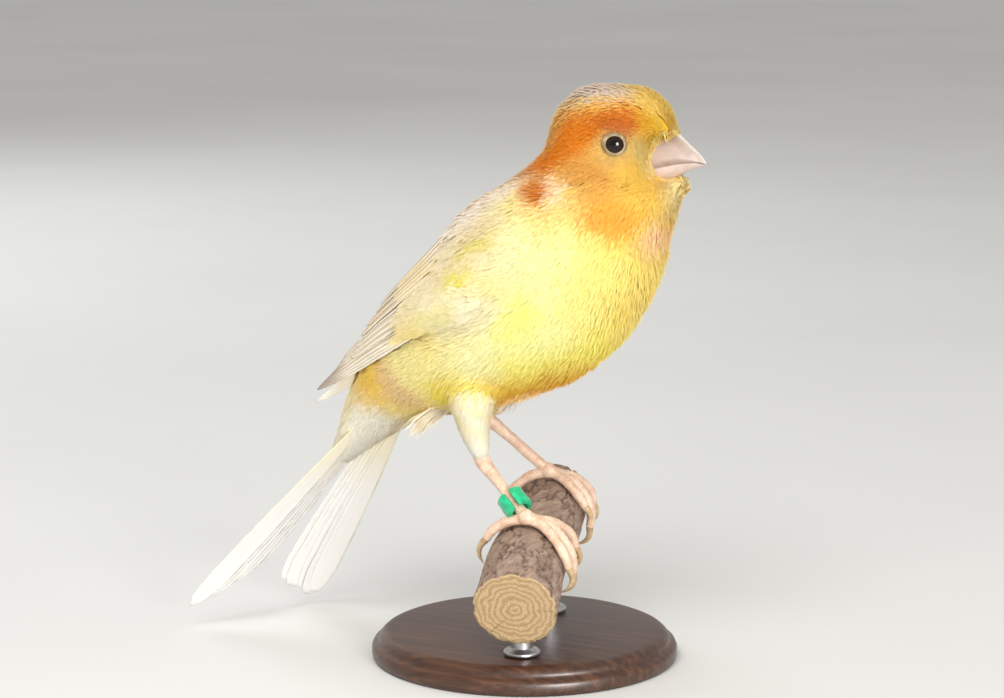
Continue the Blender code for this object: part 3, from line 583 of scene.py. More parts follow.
# Places are in mm with the head straight and y as the distance from the middle.
markings = {
    "base": tint(252, 222, 96),
    "marks": (
        ("back", (2, 0, 60), (-30, 0, 30), 9.0, tint(222, 198, 166), 1.0),
        ("nape", (8, 0, 66), (0, 3, 60), 6.0, tint(222, 156, 84), 0.9),
        ("flank", (-10, 15, 24), (-18, 13, 24), 7.0, tint(255, 244, 168), 0.85),
        ("flank tan", (-24.5, 11, 22.5), (-19.5, 10.5, 15.5), 3.4, tint(236, 196, 146), 0.8),
        ("flank low", (-5.5, 12.4, 20.8), (-12, 12, 20.6), 4.0, tint(248, 222, 66), 0.92),
        ("belly gold", (-1, 8.7, 22.3), (8, 7, 25), 3.6, tint(238, 184, 34), 0.85),
        ("rump", (-28, 4, 25), (-30, 9, 19), 5.0, tint(250, 202, 58), 1.0),
        ("coverts", (-31, 5, 10.5), (-42, 2, 3), 8.0, tint(252, 248, 234), 1.0),
        ("belly", (-3, 15, 29), (8, 12, 33), 7.0, tint(255, 252, 190), 0.85),
        ("low breast", (14, 5, 31), (4, 11, 26), 5.5, tint(255, 244, 112), 0.8),
        ("lower edge", (6, 0, 22.5), (-6, 0, 16), 7.0, tint(242, 180, 44), 0.9),
        ("lower edge deep", (4, 1, 20), (-2, 5, 18), 3.2, tint(240, 158, 56), 0.6),
        ("vent", (-16, 0, 13), (-26, 0, 8), 6.0, tint(240, 220, 178), 0.9),
        ("breast", (9, 14, 48), (8, 14, 38), 8.5, tint(255, 251, 170), 1.0),
        ("breast front", (18, 8, 44), (15, 10, 38), 6.0, tint(254, 240, 142), 0.8),
        ("breast edge", (22.7, 0, 46), (19, 0, 34), 4.5, tint(252, 228, 128), 0.8),
        ("green cheek of breast", (6, 15.4, 37), (3, 15.4, 34), 3.2, tint(242, 250, 96), 0.55),
        ("wing bend", (6, 15, 54), (4, 17, 46), 4.5, tint(255, 244, 176), 0.9),
        ("wing", (-2, 18, 48), (-24, 14, 33), 6.5, tint(250, 232, 184), 1.0),
        ("mantle", (0, 12, 57), (-16, 9, 47), 5.0, tint(255, 241, 220), 1.0),
        ("mantle edge", (2, 7, 61), (-14, 5, 53), 4.2, tint(212, 178, 138), 0.9),
        ("wing low", (-1, 18.5, 37), (-10, 18, 35), 4.4, tint(252, 242, 206), 0.85),
        ("wing streak 1", (3, 14.5, 56.4), (-2.5, 14, 54.6), 2.2, tint(244, 230, 110), 0.62),
        ("wing streak 2", (0.6, 18.2, 49.8), (-6, 17.6, 47.4), 1.9, tint(240, 228, 90), 0.62),
        ("wing streak 3", (-3, 19.7, 43.5), (-7.5, 19.5, 42), 1.9, tint(238, 226, 76), 0.75),
        ("wing streak 4", (-8, 19, 36), (-13, 18.3, 34), 1.7, tint(240, 228, 130), 0.55),
        ("head", (14, 0, 64), (21, 0, 65), 11.0, tint(246, 188, 92), 1.0),
        ("neck", (9, 13, 55), (9, 8, 56), 5.0, tint(252, 212, 124), 0.9),
        ("throat", (23, 7, 55), (22, 0, 53), 6.0, tint(240, 198, 80), 0.9),
        ("throat pink", (24.2, 2, 49.5), (23.4, 4, 50.5), 2.9, tint(252, 210, 170), 0.7),
        ("chin", (26.2, 3, 57.6), (26, 0, 57), 4.0, tint(232, 210, 146), 0.9),
        ("cheek", (11.6, 9.7, 61.5), (14.6, 10.4, 60), 4.2, tint(216, 148, 60), 0.9),
        ("yellow cheek", (20, 8.4, 60.3), (22.5, 7, 57), 3.4, tint(236, 194, 78), 0.9),
        ("orange patch", (16.5, 11, 54.5), (20, 10, 53), 3.1, tint(248, 162, 50), 0.9),
        ("brow gold", (23.1, 6.4, 68.3), (24.4, 2, 69), 4.8, tint(228, 184, 34), 1.0),
        ("brow deep", (22.8, 6.6, 68.7), (21.6, 7, 67.4), 2.2, tint(210, 154, 6), 0.8),
        ("fore crown", (23.3, 2, 71.8), (20, 0, 74), 4.0, tint(232, 198, 96), 0.9),
        ("orange band", (17.5, 7.4, 69.6), (9, 7, 68.8), 3.7, tint(206, 110, 2), 1.0),
        ("orange fall", (8.5, 7, 67.5), (4.6, 6.2, 62), 3.8, tint(224, 122, 0), 1.0),
        ("orange brow", (18.9, 8.2, 69.1), (15.6, 7.8, 69.7), 1.9, tint(198, 90, 0), 0.78),
        ("eye surround", (16.4, 10, 66), (16.4, 9, 66), 3.2, tint(198, 162, 98), 0.85),
        ("lore", (20.7, 7.2, 65.2), (21.6, 6, 63.4), 2.5, tint(222, 196, 116), 0.95),
        ("crown stripe", (8, 2.5, 73.8), (17.5, 3.0, 74.4), 2.3, tint(212, 188, 164), 0.95),
        ("crown tuft", (8, 0, 74), (14, 2, 75), 2.8, tint(218, 198, 180), 0.95),
        ("cream patch", (7.2, 10.3, 59.6), (8.4, 11.2, 57), 1.9, tint(254, 224, 178), 0.95),
        ("orange collar", (5.4, 9.5, 60.5), (6.2, 12.6, 56.6), 2.0, tint(208, 112, 10), 1.0),
        ("thigh", (-8.2, 10.2, 17.6), (-7.2, 9.4, 8), 3.2, tint(255, 255, 252), 1.0),
        ("left thigh", (-13, 8, 16), (-14.3, 6.4, 13), 3.0, tint(250, 232, 190), 0.8),
    ),
    "wander": 1.1,  # how far the edges of the marks wander, in mm
    "wanderScale": 3.2,
}


def plumageColour(points):
    points = np.asarray(points, float)
    places = markPlaces(points + scattered(points, markings["wanderScale"], 1) * markings["wander"])
    return blend(places, markings["base"], markings["marks"])


print("wings")
wing = {
    "lower": (
        (9.6, 17.0, 49.9), (-1.7, 18.4, 36.5), (-12.8, 17.2, 32.7), (-25.7, 13.2, 26.0),
        (-35.7, 8.4, 21.0), (-44.8, 6.0, 16.4),
    ),
    "middle": (
        (7.5, 15.0, 56.0), (-3.5, 17.9, 46.0), (-14.5, 16.4, 38.5), (-26.5, 12.4, 30.6),
        (-36.2, 7.8, 23.6), (-44.5, 5.7, 17.4),
    ),
    "upper": (
        (1.6, 9.2, 60.0), (-9.8, 7.0, 54.4), (-20.0, 5.6, 44.6), (-30.0, 5.0, 34.6),
        (-38.0, 4.4, 25.6), (-44.2, 5.4, 18.4),
    ),
    "shift": {"right": (0, 0, 0), "left": (-4.8, -5.0, -4.0)},
    "shiftPower": 4,
    "coreEnd": 0.42,  # the flesh and soft feathers of the wing reach this share of its length
    "coreMore": 0.16,  # and so much further along its upper edge
    "coreLift": 0.9,
    "coreSink": 0.5,
    "coreDepth": 5.0,
    "thickness": 0.12,
    "tilt": 0.12,
    "bow": 0.01,
    "sunk": 0.9,
    "rooted": 0.3,
    # Each row: how many, roots and tips of the first and last, half width, lift, how much the
    # lengths differ and the look.
    "rows": (
        (8, ((0.28, 0.02), (0.28, 0.30)), ((1.0, 0.14), (0.84, 0.84)), 1.3, -0.45, 0.008, "flight"),
        (6, ((0.24, 0.30), (0.24, 0.70)), ((0.79, 0.46), (0.70, 0.92)), 1.6, -0.2, 0.008, "flight"),
        (4, ((0.22, 0.66), (0.22, 0.94)), ((0.70, 0.74), (0.60, 0.98)), 1.9, 0.05, 0.01, "tertial"),
        (18, ((0.20, 0.02), (0.20, 0.92)), ((0.47, 0.05), (0.54, 0.96)), 0.95, 0.12, 0.035, "covert"),
    ),
    "columns": 8,
    "lengths": 26,
    "shape": ((0.0, 0.35), (0.3, 0.86), (0.62, 1.0), (0.85, 0.84), (0.95, 0.55), (1.0, 0.16)),
}
vaneLooks = {  # main, edge, shaft and shaded parts
    "flight": (tint(240, 224, 194), tint(255, 248, 228), tint(158, 130, 106), tint(190, 162, 134)),
    "tertial": (tint(220, 200, 166), tint(250, 238, 212), tint(176, 148, 116), tint(196, 170, 134)),
    "covert": (tint(244, 226, 184), tint(250, 238, 206), tint(228, 206, 164), tint(236, 214, 168)),
    "tail": (tint(250, 250, 250), tint(254, 254, 252), tint(232, 230, 226), tint(242, 242, 242)),
}


def wingPoints(side, s, t):
    s, t = np.atleast_1d(s).astype(float), np.atleast_1d(t).astype(float)[:, None]
    place = s * (len(wing["lower"]) - 1)
    lower, middle, upper = (smoothRows(wing[key], place) for key in ("lower", "middle", "upper"))
    bulge = 2 * middle - (lower + upper) / 2
    points = (1 - t) ** 2 * lower + 2 * t * (1 - t) * bulge + t**2 * upper
    points[:, 1] *= sides[side]
    shift = np.maximum(s, 0.0)[:, None] ** wing["shiftPower"]
    return points + np.array(wing["shift"][side]) * shift


def wingNormals(side, s, t):
    step = 0.02
    s, t = np.atleast_1d(s).astype(float), np.atleast_1d(t).astype(float)
    along = wingPoints(side, s + step, t) - wingPoints(side, s - step, t)
    across = wingPoints(side, s, t + step) - wingPoints(side, s, t - step)
    return unit(np.cross(along, across) * sides[side])


def vaneCells(template, faces, count):
    # Each vane has a cell of its own in the bake's map, its upper and lower face side by side.
    x, y, z = template.T
    across = math.ceil(math.sqrt(count))
    corner = faces.ravel()
    upper = (z > -0.5).astype(float)
    isRim = np.ptp(z[faces], axis=1) > 0.5
    rim = np.repeat(isRim, 3)
    low = np.repeat(z[faces].max(axis=1) < -0.5, 3)
    u = 0.5 + 0.42 * x[corner]
    v = 0.04 + 0.92 * y[corner]
    outward = rim & (upper[corner] < 0.5)
    u = np.where(outward, 0.5 + (u - 0.5) * 1.08, u)
    v = np.where(outward, 0.5 + (v - 0.5) * 1.04, v)
    u = u * 0.5 + np.where(low, 0.5, 0.0)
    cells = []
    for number in range(count):
        row, column = divmod(number, across)
        cells.append(np.stack([(column + u) / across, (row + v) / across], axis=1))
    return np.concatenate(cells)


def vaneColours(look, template, shade, rng):
    main, edge, shaft, dark = (np.array(one) for one in vaneLooks[look])
    u, v, h = template.T
    colours = np.tile(main, (len(template), 1))
    # Painted shade: the inner web, which the next vane covers, is painted darker.
    inner = ease((-u - 0.3) / 0.6)[:, None]
    colours += (dark - colours) * inner * shade
    outer = ease((u - 0.6) / 0.25)[:, None]
    colours += (edge - colours) * outer
    # The shaft line, and a dark line inside the pale edge that is partly the vane's own darker web and partly
    # painted shadow where the vanes overlap.
    for place, width, strength in ((0.0, 0.12, 0.75), (0.5, 0.1, 0.5 * shade)):
        line = np.exp(-(((u - place) / width) ** 2))[:, None] * strength
        colours += (shaft - colours) * line
    tip = ease((v - 0.93) / 0.07)[:, None]
    colours += (edge - colours) * tip * 0.4
    under = (h < -0.5)[:, None] * 0.85
    colours += (tint(252, 250, 246) - colours) * under
    return colours * rng.uniform(0.95, 1.03)


def wingVane(template, side, root, tip, half, lift, rng):
    rows = np.unique(template[:, 1])
    ways = [np.interp(rows, (0, 1), (root[axis], tip[axis])) for axis in (0, 1)]
    step = (np.array(tip) - np.array(root)) * 0.02
    middle = wingPoints(side, *ways)
    normal = wingNormals(side, *ways)
    ahead = wingPoints(side, ways[0] + step[0], ways[1] + step[1])
    behind = wingPoints(side, ways[0] - step[0], ways[1] - step[1])
    across = np.cross(normal, unit(ahead - behind)) * -sides[side]
    width = np.interp(rows, *zip(*wing["shape"])) * half
    rooted = ease(rows / wing["rooted"])
    middle = middle + normal * (lift * rooted - wing["sunk"] * (1 - rooted))[:, None]
    index = np.searchsorted(rows, template[:, 1])
    u, h = template[:, 0], template[:, 2]
    ragged = 1 - 0.07 * (np.abs(u) > 0.95) * rng.random(len(rows))[index]
    reach = u * width[index] * ragged
    height = wing["tilt"] * reach - wing["bow"] * reach**2 + h * wing["thickness"]
    height = height + 0.05 * np.exp(-((u / 0.16) ** 2)) * (h > -0.5)
    return middle[index] + across[index] * reach[:, None] + normal[index] * height[:, None]


def makeWing(side):
    rng = np.random.default_rng(11 if side == "right" else 12)
    template, faces = arraysOf(unitSlab(wing["columns"], wing["lengths"]))
    points, colours = [], []
    for count, root, tip, half, lift, uneven, look in wing["rows"]:
        for share in np.linspace(0, 1, count):
            start = np.array(root[0]) + (np.array(root[1]) - np.array(root[0])) * share
            end = np.array(tip[0]) + (np.array(tip[1]) - np.array(tip[0])) * share
            end[0] += rng.uniform(-uneven, uneven)
            size = half * rng.uniform(0.94, 1.06)
            made = wingVane(template, side, start, end, size, lift, rng)
            paint = vaneColours(look, template, 1.0, rng)
            if look == "covert":
                paint = paint * 0.4 + plumageColour(made) * 0.6
            far = ease((start[0] + (end[0] - start[0]) * template[:, 1] - 0.76) / 0.18)[:, None] * 0.75
            paint = paint + (tint(150, 132, 118) - paint) * far * (template[:, 2:] > -0.5)
            points.append(made)
            colours.append(paint)
    count = len(points)
    allFaces = np.concatenate([faces + number * len(template) for number in range(count)])
    pattern = np.tile(template[faces.ravel()][:, :2] * (0.5, 1) + (0.5, 0), (count, 1))
    maps = {"vane": pattern, "OFBake": vaneCells(template, faces, count)}
    mesh = meshFromArrays("wing_" + side, np.concatenate(points), allFaces, np.concatenate(colours), maps)
    return addPiece("wing_vanes_" + side, mesh, firmVane, "wing_feathers", "wing_" + side)


wingPieces = {side: makeWing(side) for side in sides}

print("tail")
tail = {
    "root": (-28.0, 0.0, 18.7),
    "slope": math.radians(52.5),
    "roll": math.radians(20),
    # Root and tip of the inmost and the outmost feather: distance along and to the left.
    "right": ((8, -1.4), (52, -6.6), (8, -4.4), (59.5, -14.8)),
    "left": ((8, 0.4), (53, 4.2), (8, 3.4), (55, 12.4)),
    "perSide": 6,
    "half": 2.9,
    "step": 0.2,
    "thickness": 0.12,
    "shape": ((0.0, 0.3), (0.3, 0.72), (0.62, 0.98), (0.86, 1.0), (0.95, 0.74), (1.0, 0.2)),
    "columns": 8,
    "lengths": 44,
    "edge": tint(240, 226, 130),
}


def tailPoints(along, across, height):
    slope, roll = tail["slope"], tail["roll"]
    ahead = np.array((-math.cos(slope), 0, -math.sin(slope)))
    above = np.array((-math.sin(slope), 0, math.cos(slope)))
    left = np.array((0, math.cos(roll), 0)) - above * math.sin(roll)
    up = -np.cross(ahead, left)
    return np.array(tail["root"]) + np.outer(along, ahead) + np.outer(across, left) + np.outer(height, up)


def makeTail():
    rng = np.random.default_rng(3)
    template, faces = arraysOf(unitSlab(tail["columns"], tail["lengths"]))
    u, v, h = template.T
    points, colours = [], []
    for side, sign in sides.items():
        rootIn, tipIn, rootOut, tipOut = (np.array(row, float) for row in tail[side])
        for number in range(tail["perSide"]):
            share = number / (tail["perSide"] - 1)
            start = rootIn + (rootOut - rootIn) * share
            end = tipIn + (tipOut - tipIn) * share
            end[0] += rng.uniform(-0.6, 0.6)
            base = -tail["step"] * (number + (0.5 if sign > 0 else 0.0))
            width = np.interp(v, *zip(*tail["shape"])) * tail["half"] * rng.uniform(0.94, 1.04)
            ragged = 1 - 0.05 * (np.abs(u) > 0.95) * rng.random(len(u))
            reach = u * width * ragged
            along = start[0] + (end[0] - start[0]) * v
            across = start[1] + (end[1] - start[1]) * v + reach
            bend = rng.uniform(-0.15, 0.15) * v**2
            height = base + h * tail["thickness"] - 0.012 * reach**2 + bend
            height = height + 0.05 * np.exp(-((u / 0.12) ** 2)) * np.sign(h + 0.5)
            made = tailPoints(along, across, height)
            paint = vaneColours("tail", template, 0.6, rng)
            outmost = ease((u * sign - 0.7) / 0.25) * (0.6 if share > 0.9 else 0.1) * (1 - 0.8 * v)
            paint += (np.array(tail["edge"]) - paint) * outmost[:, None]
            warm = ease((0.45 - v) / 0.35)[:, None] * 0.5
            paint += (tint(244, 232, 170) - paint) * warm
            points.append(made)
            colours.append(paint)
    count = len(points)
    allFaces = np.concatenate([faces + number * len(template) for number in range(count)])
    pattern = np.tile(template[faces.ravel()][:, :2] * (0.5, 1) + (0.5, 0), (count, 1))
    maps = {"vane": pattern, "OFBake": vaneCells(template, faces, count)}
    mesh = meshFromArrays("tail", np.concatenate(points), allFaces, np.concatenate(colours), maps)
    return addPiece("tail_vanes", mesh, firmVane, "tail_feathers", "tail")


tailPiece = makeTail()

print("skin")
bill = {
    # Distance along, culmen, mouth, underside and half width.
    "rows": (
        (20.3, 68.6, 61.0, 58.6, 4.6), (21.8, 68.6, 61.3, 58.7, 4.3), (24.3, 68.2, 61.9, 59.0, 3.7),
        (26.6, 66.95, 62.3, 59.7, 2.95), (28.4, 65.2, 62.4, 60.6, 2.1), (30.0, 63.8, 62.3, 61.3, 1.2),
        (31.2, 62.2, 61.9, 61.7, 0.3),
    ),
    "around": 40,
    "rings": 30,
    "fullness": 0.85,
    "seam": 0.025,
    "lowerShort": 0.4,
    "flesh": tint(170, 148, 134),
    "low": tint(214, 192, 182),
    "pale": tint(204, 190, 180),
    # The ridge colour is a painted highlight along the culmen.
    "ridge": tint(238, 230, 224),
    "deep": tint(184, 158, 148),
}
skinForm = {
    "nodes": ("torso", "neck", "head", "thigh_left", "thigh_right"),
    "around": 72,
    "rings": 140,
    "voxel": 0.6,
    "smoothing": 10,
    "depth": 1.2,  # how far the skin lies inside the solids
    "depths": (
        ("head", (14, 0, 64), (22, 0, 65), 11.0, 1.15, 1.0),
        ("face", (23, 0, 64), (19, 6, 64), 5.5, 0.6, 1.0),
        ("bill edge", (24, 2, 67), (22, 4, 62), 2.6, 0.35, 1.0),
        ("eye", (16.2, 9, 66), (16.2, 10, 66), 3.6, 0.55, 1.0),
        ("coverts", (-36, 0, 10), (-43, 0, 3), 7.0, 0.8, 1.0),
        ("right thigh", (-8.4, 9.6, 17), (-6.6, 9.1, 8), 5.0, 0.5, 1.0),
        ("left thigh", (-12.6, 8, 18), (-14.3, 6.4, 13), 4.0, 0.5, 1.0),
        ("wing", (0, 18, 47), (-16, 17, 36), 5.0, 0.5, 0.9),
    ),
    # Where the feathers of the face end on the bill: height and distance forward.
    "billEdge": (
        (57.6, 26.0), (58.8, 23.6), (61.2, 22.0), (62.6, 21.5), (64.4, 21.6), (66.1, 22.9), (67.3, 24.1),
        (67.9, 25.2),
    ),
    "taper": 6.5,  # the length over which the face narrows to the bill
    "taperPower": 1.5,
    "blendReach": 5.5,  # the feathers fill the step from the wing's edge to the body
    "blendTimes": 60,
    "faceTimes": 6,
}


def bodyLoft(s):
    rows = np.array(bird["body"] + bird["head"], float)
    work = unitTube(s["around"], s["rings"])
    sections = {}

    def place(x, y, z):
        row = round(z * s["rings"]) / s["rings"] * (len(rows) - 1)
        if row not in sections:
            sections[row] = smoothRows(rows, row)[0]
        along, height, slope, depth, width = sections[row]
        slope = math.radians(slope)
        up = Vector((-math.sin(slope), 0, math.cos(slope)))
        share = float(ease((row - bird["turnStart"]) / bird["turnSteps"]))
        return turned(Vector((along, y * width, height)) + up * x * depth, share)

    mould(work, place)
    bmesh.ops.recalc_face_normals(work, faces=work.faces)
    return work


def wingCore(side):
    work = unitSlab(14, 16)

    def place(x, y, z):
        t = (x + 1) / 2
        s = y * (wing["coreEnd"] + wing["coreMore"] * float(ease((t - 0.35) / 0.5)))
        point = wingPoints(side, s, t)[0]
        normal = wingNormals(side, s, t)[0]
        lift = wing["coreLift"] - (wing["coreLift"] + wing["coreSink"]) * float(ease((y - 0.75) / 0.25))
        return Vector(point + normal * (z * wing["coreDepth"] + lift))

    mould(work, place)
    bmesh.ops.recalc_face_normals(work, faces=work.faces)
    return work


def billHalf(along, height):  # half of the bill's width at a place, or more above and below it
    rows = np.array(bill["rows"])
    culmen, mouth, underside, width = (np.interp(along, rows[:, 0], rows[:, k]) for k in (1, 2, 3, 4))
    edge = np.where(height > mouth, culmen, underside)
    share = np.clip((height - mouth) / (edge - mouth), 0, 1) ** (1 / bill["fullness"])
    clear = np.maximum(height - culmen + 1.5, 0) * 1.6 + np.maximum(underside + 0.3 - height, 0) * 3.0
    return width * np.sqrt(np.maximum(1 - share**2, 0)) + clear


def narrowFace(points, s):  # the face narrows to the bill, and lies inside it past its edge
    places = markPlaces(points)
    edge = np.interp(places[:, 2], *zip(*s["billEdge"]))
    past = places[:, 0] - edge
    half = billHalf(places[:, 0], places[:, 2])
    near = np.clip((past + s["taper"]) / s["taper"], 0, 1) ** s["taperPower"]
    beside = ease((places[:, 2] - 57.6) / 0.8)  # below this the chin is a full cushion
    limit = half + 0.7 + (1 - near) * 5.0 - 1.7 * ease(past / 0.9) * beside
    limit = np.maximum(limit, 0.3)
    active = (neckShare(points) > 0.9) & (past > -s["taper"]) & (places[:, 1] > limit)
    turn = bird["headTurn"]
    x, y = points[:, 0] - bird["neckX"], points[:, 1]
    straightX = x * math.cos(turn) + y * math.sin(turn)
    straightY = -x * math.sin(turn) + y * math.cos(turn)
    straightY = np.where(active, np.sign(straightY) * limit, straightY)
    made = points.copy()
    made[:, 0] = straightX * math.cos(turn) - straightY * math.sin(turn) + bird["neckX"]
    made[:, 1] = straightX * math.sin(turn) + straightY * math.cos(turn)
    return made


def makeSkin(s):
    works = [bodyLoft(s)] + [wingCore(side) for side in sides]
    for rows in bird["thighs"].values():
        works.append(limb([row[:3] for row in rows], [row[3] for row in rows], 32, 24))
    rough = bpy.data.objects.new("rough", meshOf("skin", joined(works)))
    bpy.context.scene.collection.objects.link(rough)
    remesh = rough.modifiers.new("remesh", "REMESH")
    remesh.mode = "VOXEL"
    remesh.voxel_size = s["voxel"] * mm
    smoothing = rough.modifiers.new("smooth", "SMOOTH")
    smoothing.iterations = s["smoothing"]
    graph = bpy.context.evaluated_depsgraph_get()
    made = bpy.data.meshes.new_from_object(rough.evaluated_get(graph))
    bpy.data.objects.remove(rough)
    work = bmesh.new()
    work.from_mesh(made)
    work.normal_update()
    points = np.array([vert.co for vert in work.verts]) / mm - np.array(feet)
    normals = np.array([vert.normal for vert in work.verts])
    depth = blend(markPlaces(points), s["depth"], s["depths"])[:, 0]
    points = narrowFace(points - normals * depth[:, None], s)
    for vert, point in zip(work.verts, points):
        vert.co = at(point)
    edges = [wingPoints(side, np.linspace(-0.02, 0.34, 24), 0.0) for side in sides]
    edges += [wingPoints(side, 0.0, share) for side in sides for share in np.linspace(0, 1, 10)]
    edges += [wingPoints(side, np.linspace(-0.02, 0.36, 24), 1.0) for side in sides]
    gap = nearest(points, np.concatenate(edges))[1]
    blended = [vert for vert, far in zip(work.verts, gap) if far < s["blendReach"]]
    straight = markPlaces(points)
    isFace = (neckShare(points) > 0.9) & (straight[:, 0] > 18.5) & (straight[:, 2] > 56)
    face = [vert for vert, found in zip(work.verts, isFace) if found]
    for verts, times in ((blended, s["blendTimes"]), (face, s["faceTimes"]), (work.verts, 2)):
        for _ in range(times):
            bmesh.ops.smooth_vert(
                work, verts=verts, factor=0.5, use_axis_x=True, use_axis_y=True, use_axis_z=True
            )
    work.to_mesh(made)
    work.free()
    # The skin takes the plumage's colour, a little darker as painted shade where it shows between the locks.
    paintMesh(made, plumageColour(points) * 0.95)
    skin = addPiece("skin", made, bareSkinColour, "body_feathers", *s["nodes"])
    bpy.context.view_layer.objects.active = skin
    skin.select_set(True)
    made.uv_layers.new(name="OFBake")
    bpy.ops.object.mode_set(mode="EDIT")
    bpy.ops.mesh.select_all(action="SELECT")
    bpy.ops.uv.smart_project(angle_limit=math.radians(66), island_margin=0.004)
    bpy.ops.object.mode_set(mode="OBJECT")
    skin.select_set(False)
    return skin


skin = makeSkin(skinForm)
print("skin faces", len(skin.data.polygons))

print("bill and eyes")
def billPart(upper):
    rows = bill["rows"]
    work = unitTube(bill["around"], bill["rings"])

    def place(x, y, z):
        along, culmen, mouth, underside, width = smoothRows(rows, z * (len(rows) - 1))[0]
        inner = mouth + (bill["seam"] if upper else -bill["seam"])
        edge = culmen if upper else underside
        if not upper:
            along -= bill["lowerShort"] * ease((along - rows[0][0]) / 10)
        share = max(y, 0.0) if upper else max(-y, 0.0)
        height = inner + (edge - inner) * share ** bill["fullness"]
        return turned((along, x * width, height))

    mould(work, place)
    bmesh.ops.remove_doubles(work, verts=work.verts, dist=0.002)
    bmesh.ops.recalc_face_normals(work, faces=work.faces)
    return work


def billColours(mesh):
    points = np.array([vert.co for vert in mesh.vertices]) / mm - np.array(feet)
    straight = markPlaces(points)
    along, side, height = straight.T
    colours = np.tile(np.array(bill["flesh"]), (len(points), 1))
    tip = ease((along - 26.5) / 4)[:, None]
    colours += (np.array(bill["pale"]) - colours) * tip * 0.8
    rows = np.array(bill["rows"])
    ridge = np.interp(along, rows[:, 0], rows[:, 1])
    top = ease(1 - (ridge - height) / 1.6)[:, None]
    colours += (np.array(bill["pale"]) - colours) * top * 0.6
    # Painted highlight: a pale line along the culmen.
    culmenHighlight = ease(1 - (ridge - height) / 0.45)[:, None]
    colours += (np.array(bill["ridge"]) - colours) * culmenHighlight * 0.8
    mouth = np.interp(along, rows[:, 0], rows[:, 2])
    near = np.exp(-(((height - mouth) / 0.35) ** 2))[:, None]
    colours += (np.array(bill["deep"]) - colours) * near * 0.2
    below = ease((mouth - height) / 0.8)[:, None]
    colours += (np.array(bill["low"]) - colours) * below * 0.8
    base = ease((24.0 - along) / 3)[:, None]
    colours += (np.array(bill["deep"]) - colours) * base * 0.6
    paintMesh(mesh, colours)


def makeBill():
    upper = addPiece("bill_top", meshOf("bill_top", billPart(True)), hornBill, "bill_horn", "bill_upper")
    billColours(upper.data)
    lower = addPiece("bill_base", meshOf("bill_base", billPart(False)), hornBill, "bill_horn", "bill_lower")
    billColours(lower.data)


makeBill()
eyes = {
    "segments": 48,
    "rings": 32,
    "pupil": 0.7,
    "iris": 0.95,
    "pupilColour": (0.004, 0.003, 0.003),
    "irisColour": tint(40, 25, 18),
    "rimColour": (0.006, 0.004, 0.004),
    # The lid's section: distance from the eye's axis and distance out from its centre.
    "lid": (
        (1.45, 1.64), (1.46, 1.78), (1.54, 1.86), (1.66, 1.83), (1.76, 1.68), (1.86, 1.64),
        (1.96, 1.46), (2.06, 1.14), (2.12, 0.6), (2.1, 0.2), (1.9, 0.2),
    ),
    "lidSteps": 64,
    "lidLong": 1.07,  # the lids are a little longer towards the bill
}


def eyeFrame(side):
    x, y, z = bird["eye"]
    a, b, c = bird["eyeFacing"]
    centre = turned((x, sides[side] * y, z))
    facing = turned((a + bird["neckX"], sides[side] * b, c)) - Vector((bird["neckX"], 0, 0))
    facing.normalize()
    ahead = turned((1 + bird["neckX"], 0, -0.25)) - Vector((bird["neckX"], 0, 0))
    ahead = (ahead - facing * ahead.dot(facing)).normalized()
    return centre, facing, ahead, facing.cross(ahead)


def makeEye(side):
    centre, facing, ahead, up = eyeFrame(side)
    turn = Matrix((ahead, up, facing)).transposed().to_4x4()
    work = bmesh.new()
    bmesh.ops.create_uvsphere(
        work, u_segments=eyes["segments"], v_segments=eyes["rings"], radius=bird["eyeRadius"]
    )
    angles = np.array([math.acos(min(max(vert.co.z / bird["eyeRadius"], -1), 1)) for vert in work.verts])
    bmesh.ops.transform(work, matrix=Matrix.Translation(centre) @ turn, verts=work.verts)
    mesh = meshOf("eyeball_" + side, work)
    colours = np.tile(np.array(eyes["pupilColour"]), (len(angles), 1))
    iris = ease((angles - eyes["pupil"] * 0.5) / 0.08)[:, None]
    colours += (np.array(eyes["irisColour"]) - colours) * iris
    rim = ease((angles - eyes["iris"]) / 0.15)[:, None]
    colours += (np.array(eyes["rimColour"]) - colours) * rim
    paintMesh(mesh, colours)
    addPiece("eyeball_" + side, mesh, eyeWet, "eye_dark", "eye_" + side)

    lid = bmesh.new()
    loop = [lid.verts.new((radius, 0, out)) for radius, out in eyes["lid"]]
    edges = [lid.edges.new((a, b)) for a, b in zip(loop, loop[1:] + loop[:1])]
    bmesh.ops.spin(
        lid, geom=loop + edges, cent=(0, 0, 0), axis=(0, 0, 1), angle=2 * math.pi,
        steps=eyes["lidSteps"], use_merge=True,
    )
    bmesh.ops.remove_doubles(lid, verts=lid.verts, dist=0.001)
    for vert in lid.verts:
        spoke = math.atan2(vert.co.y, vert.co.x)
        fold = 0.05 * noise.noise(Vector((math.cos(spoke), math.sin(spoke), vert.co.z)) * 6)
        vert.co.z += fold * (vert.co.z > 1.0)
    bmesh.ops.scale(lid, verts=lid.verts, vec=(eyes["lidLong"], 1, 1))
    bmesh.ops.transform(lid, matrix=Matrix.Translation(centre) @ turn, verts=lid.verts)
    bmesh.ops.recalc_face_normals(lid, faces=lid.faces)
    addPiece("lids_" + side, meshOf("lids_" + side, lid), lidSkin, "head_feathers")


for side in sides:
    makeEye(side)

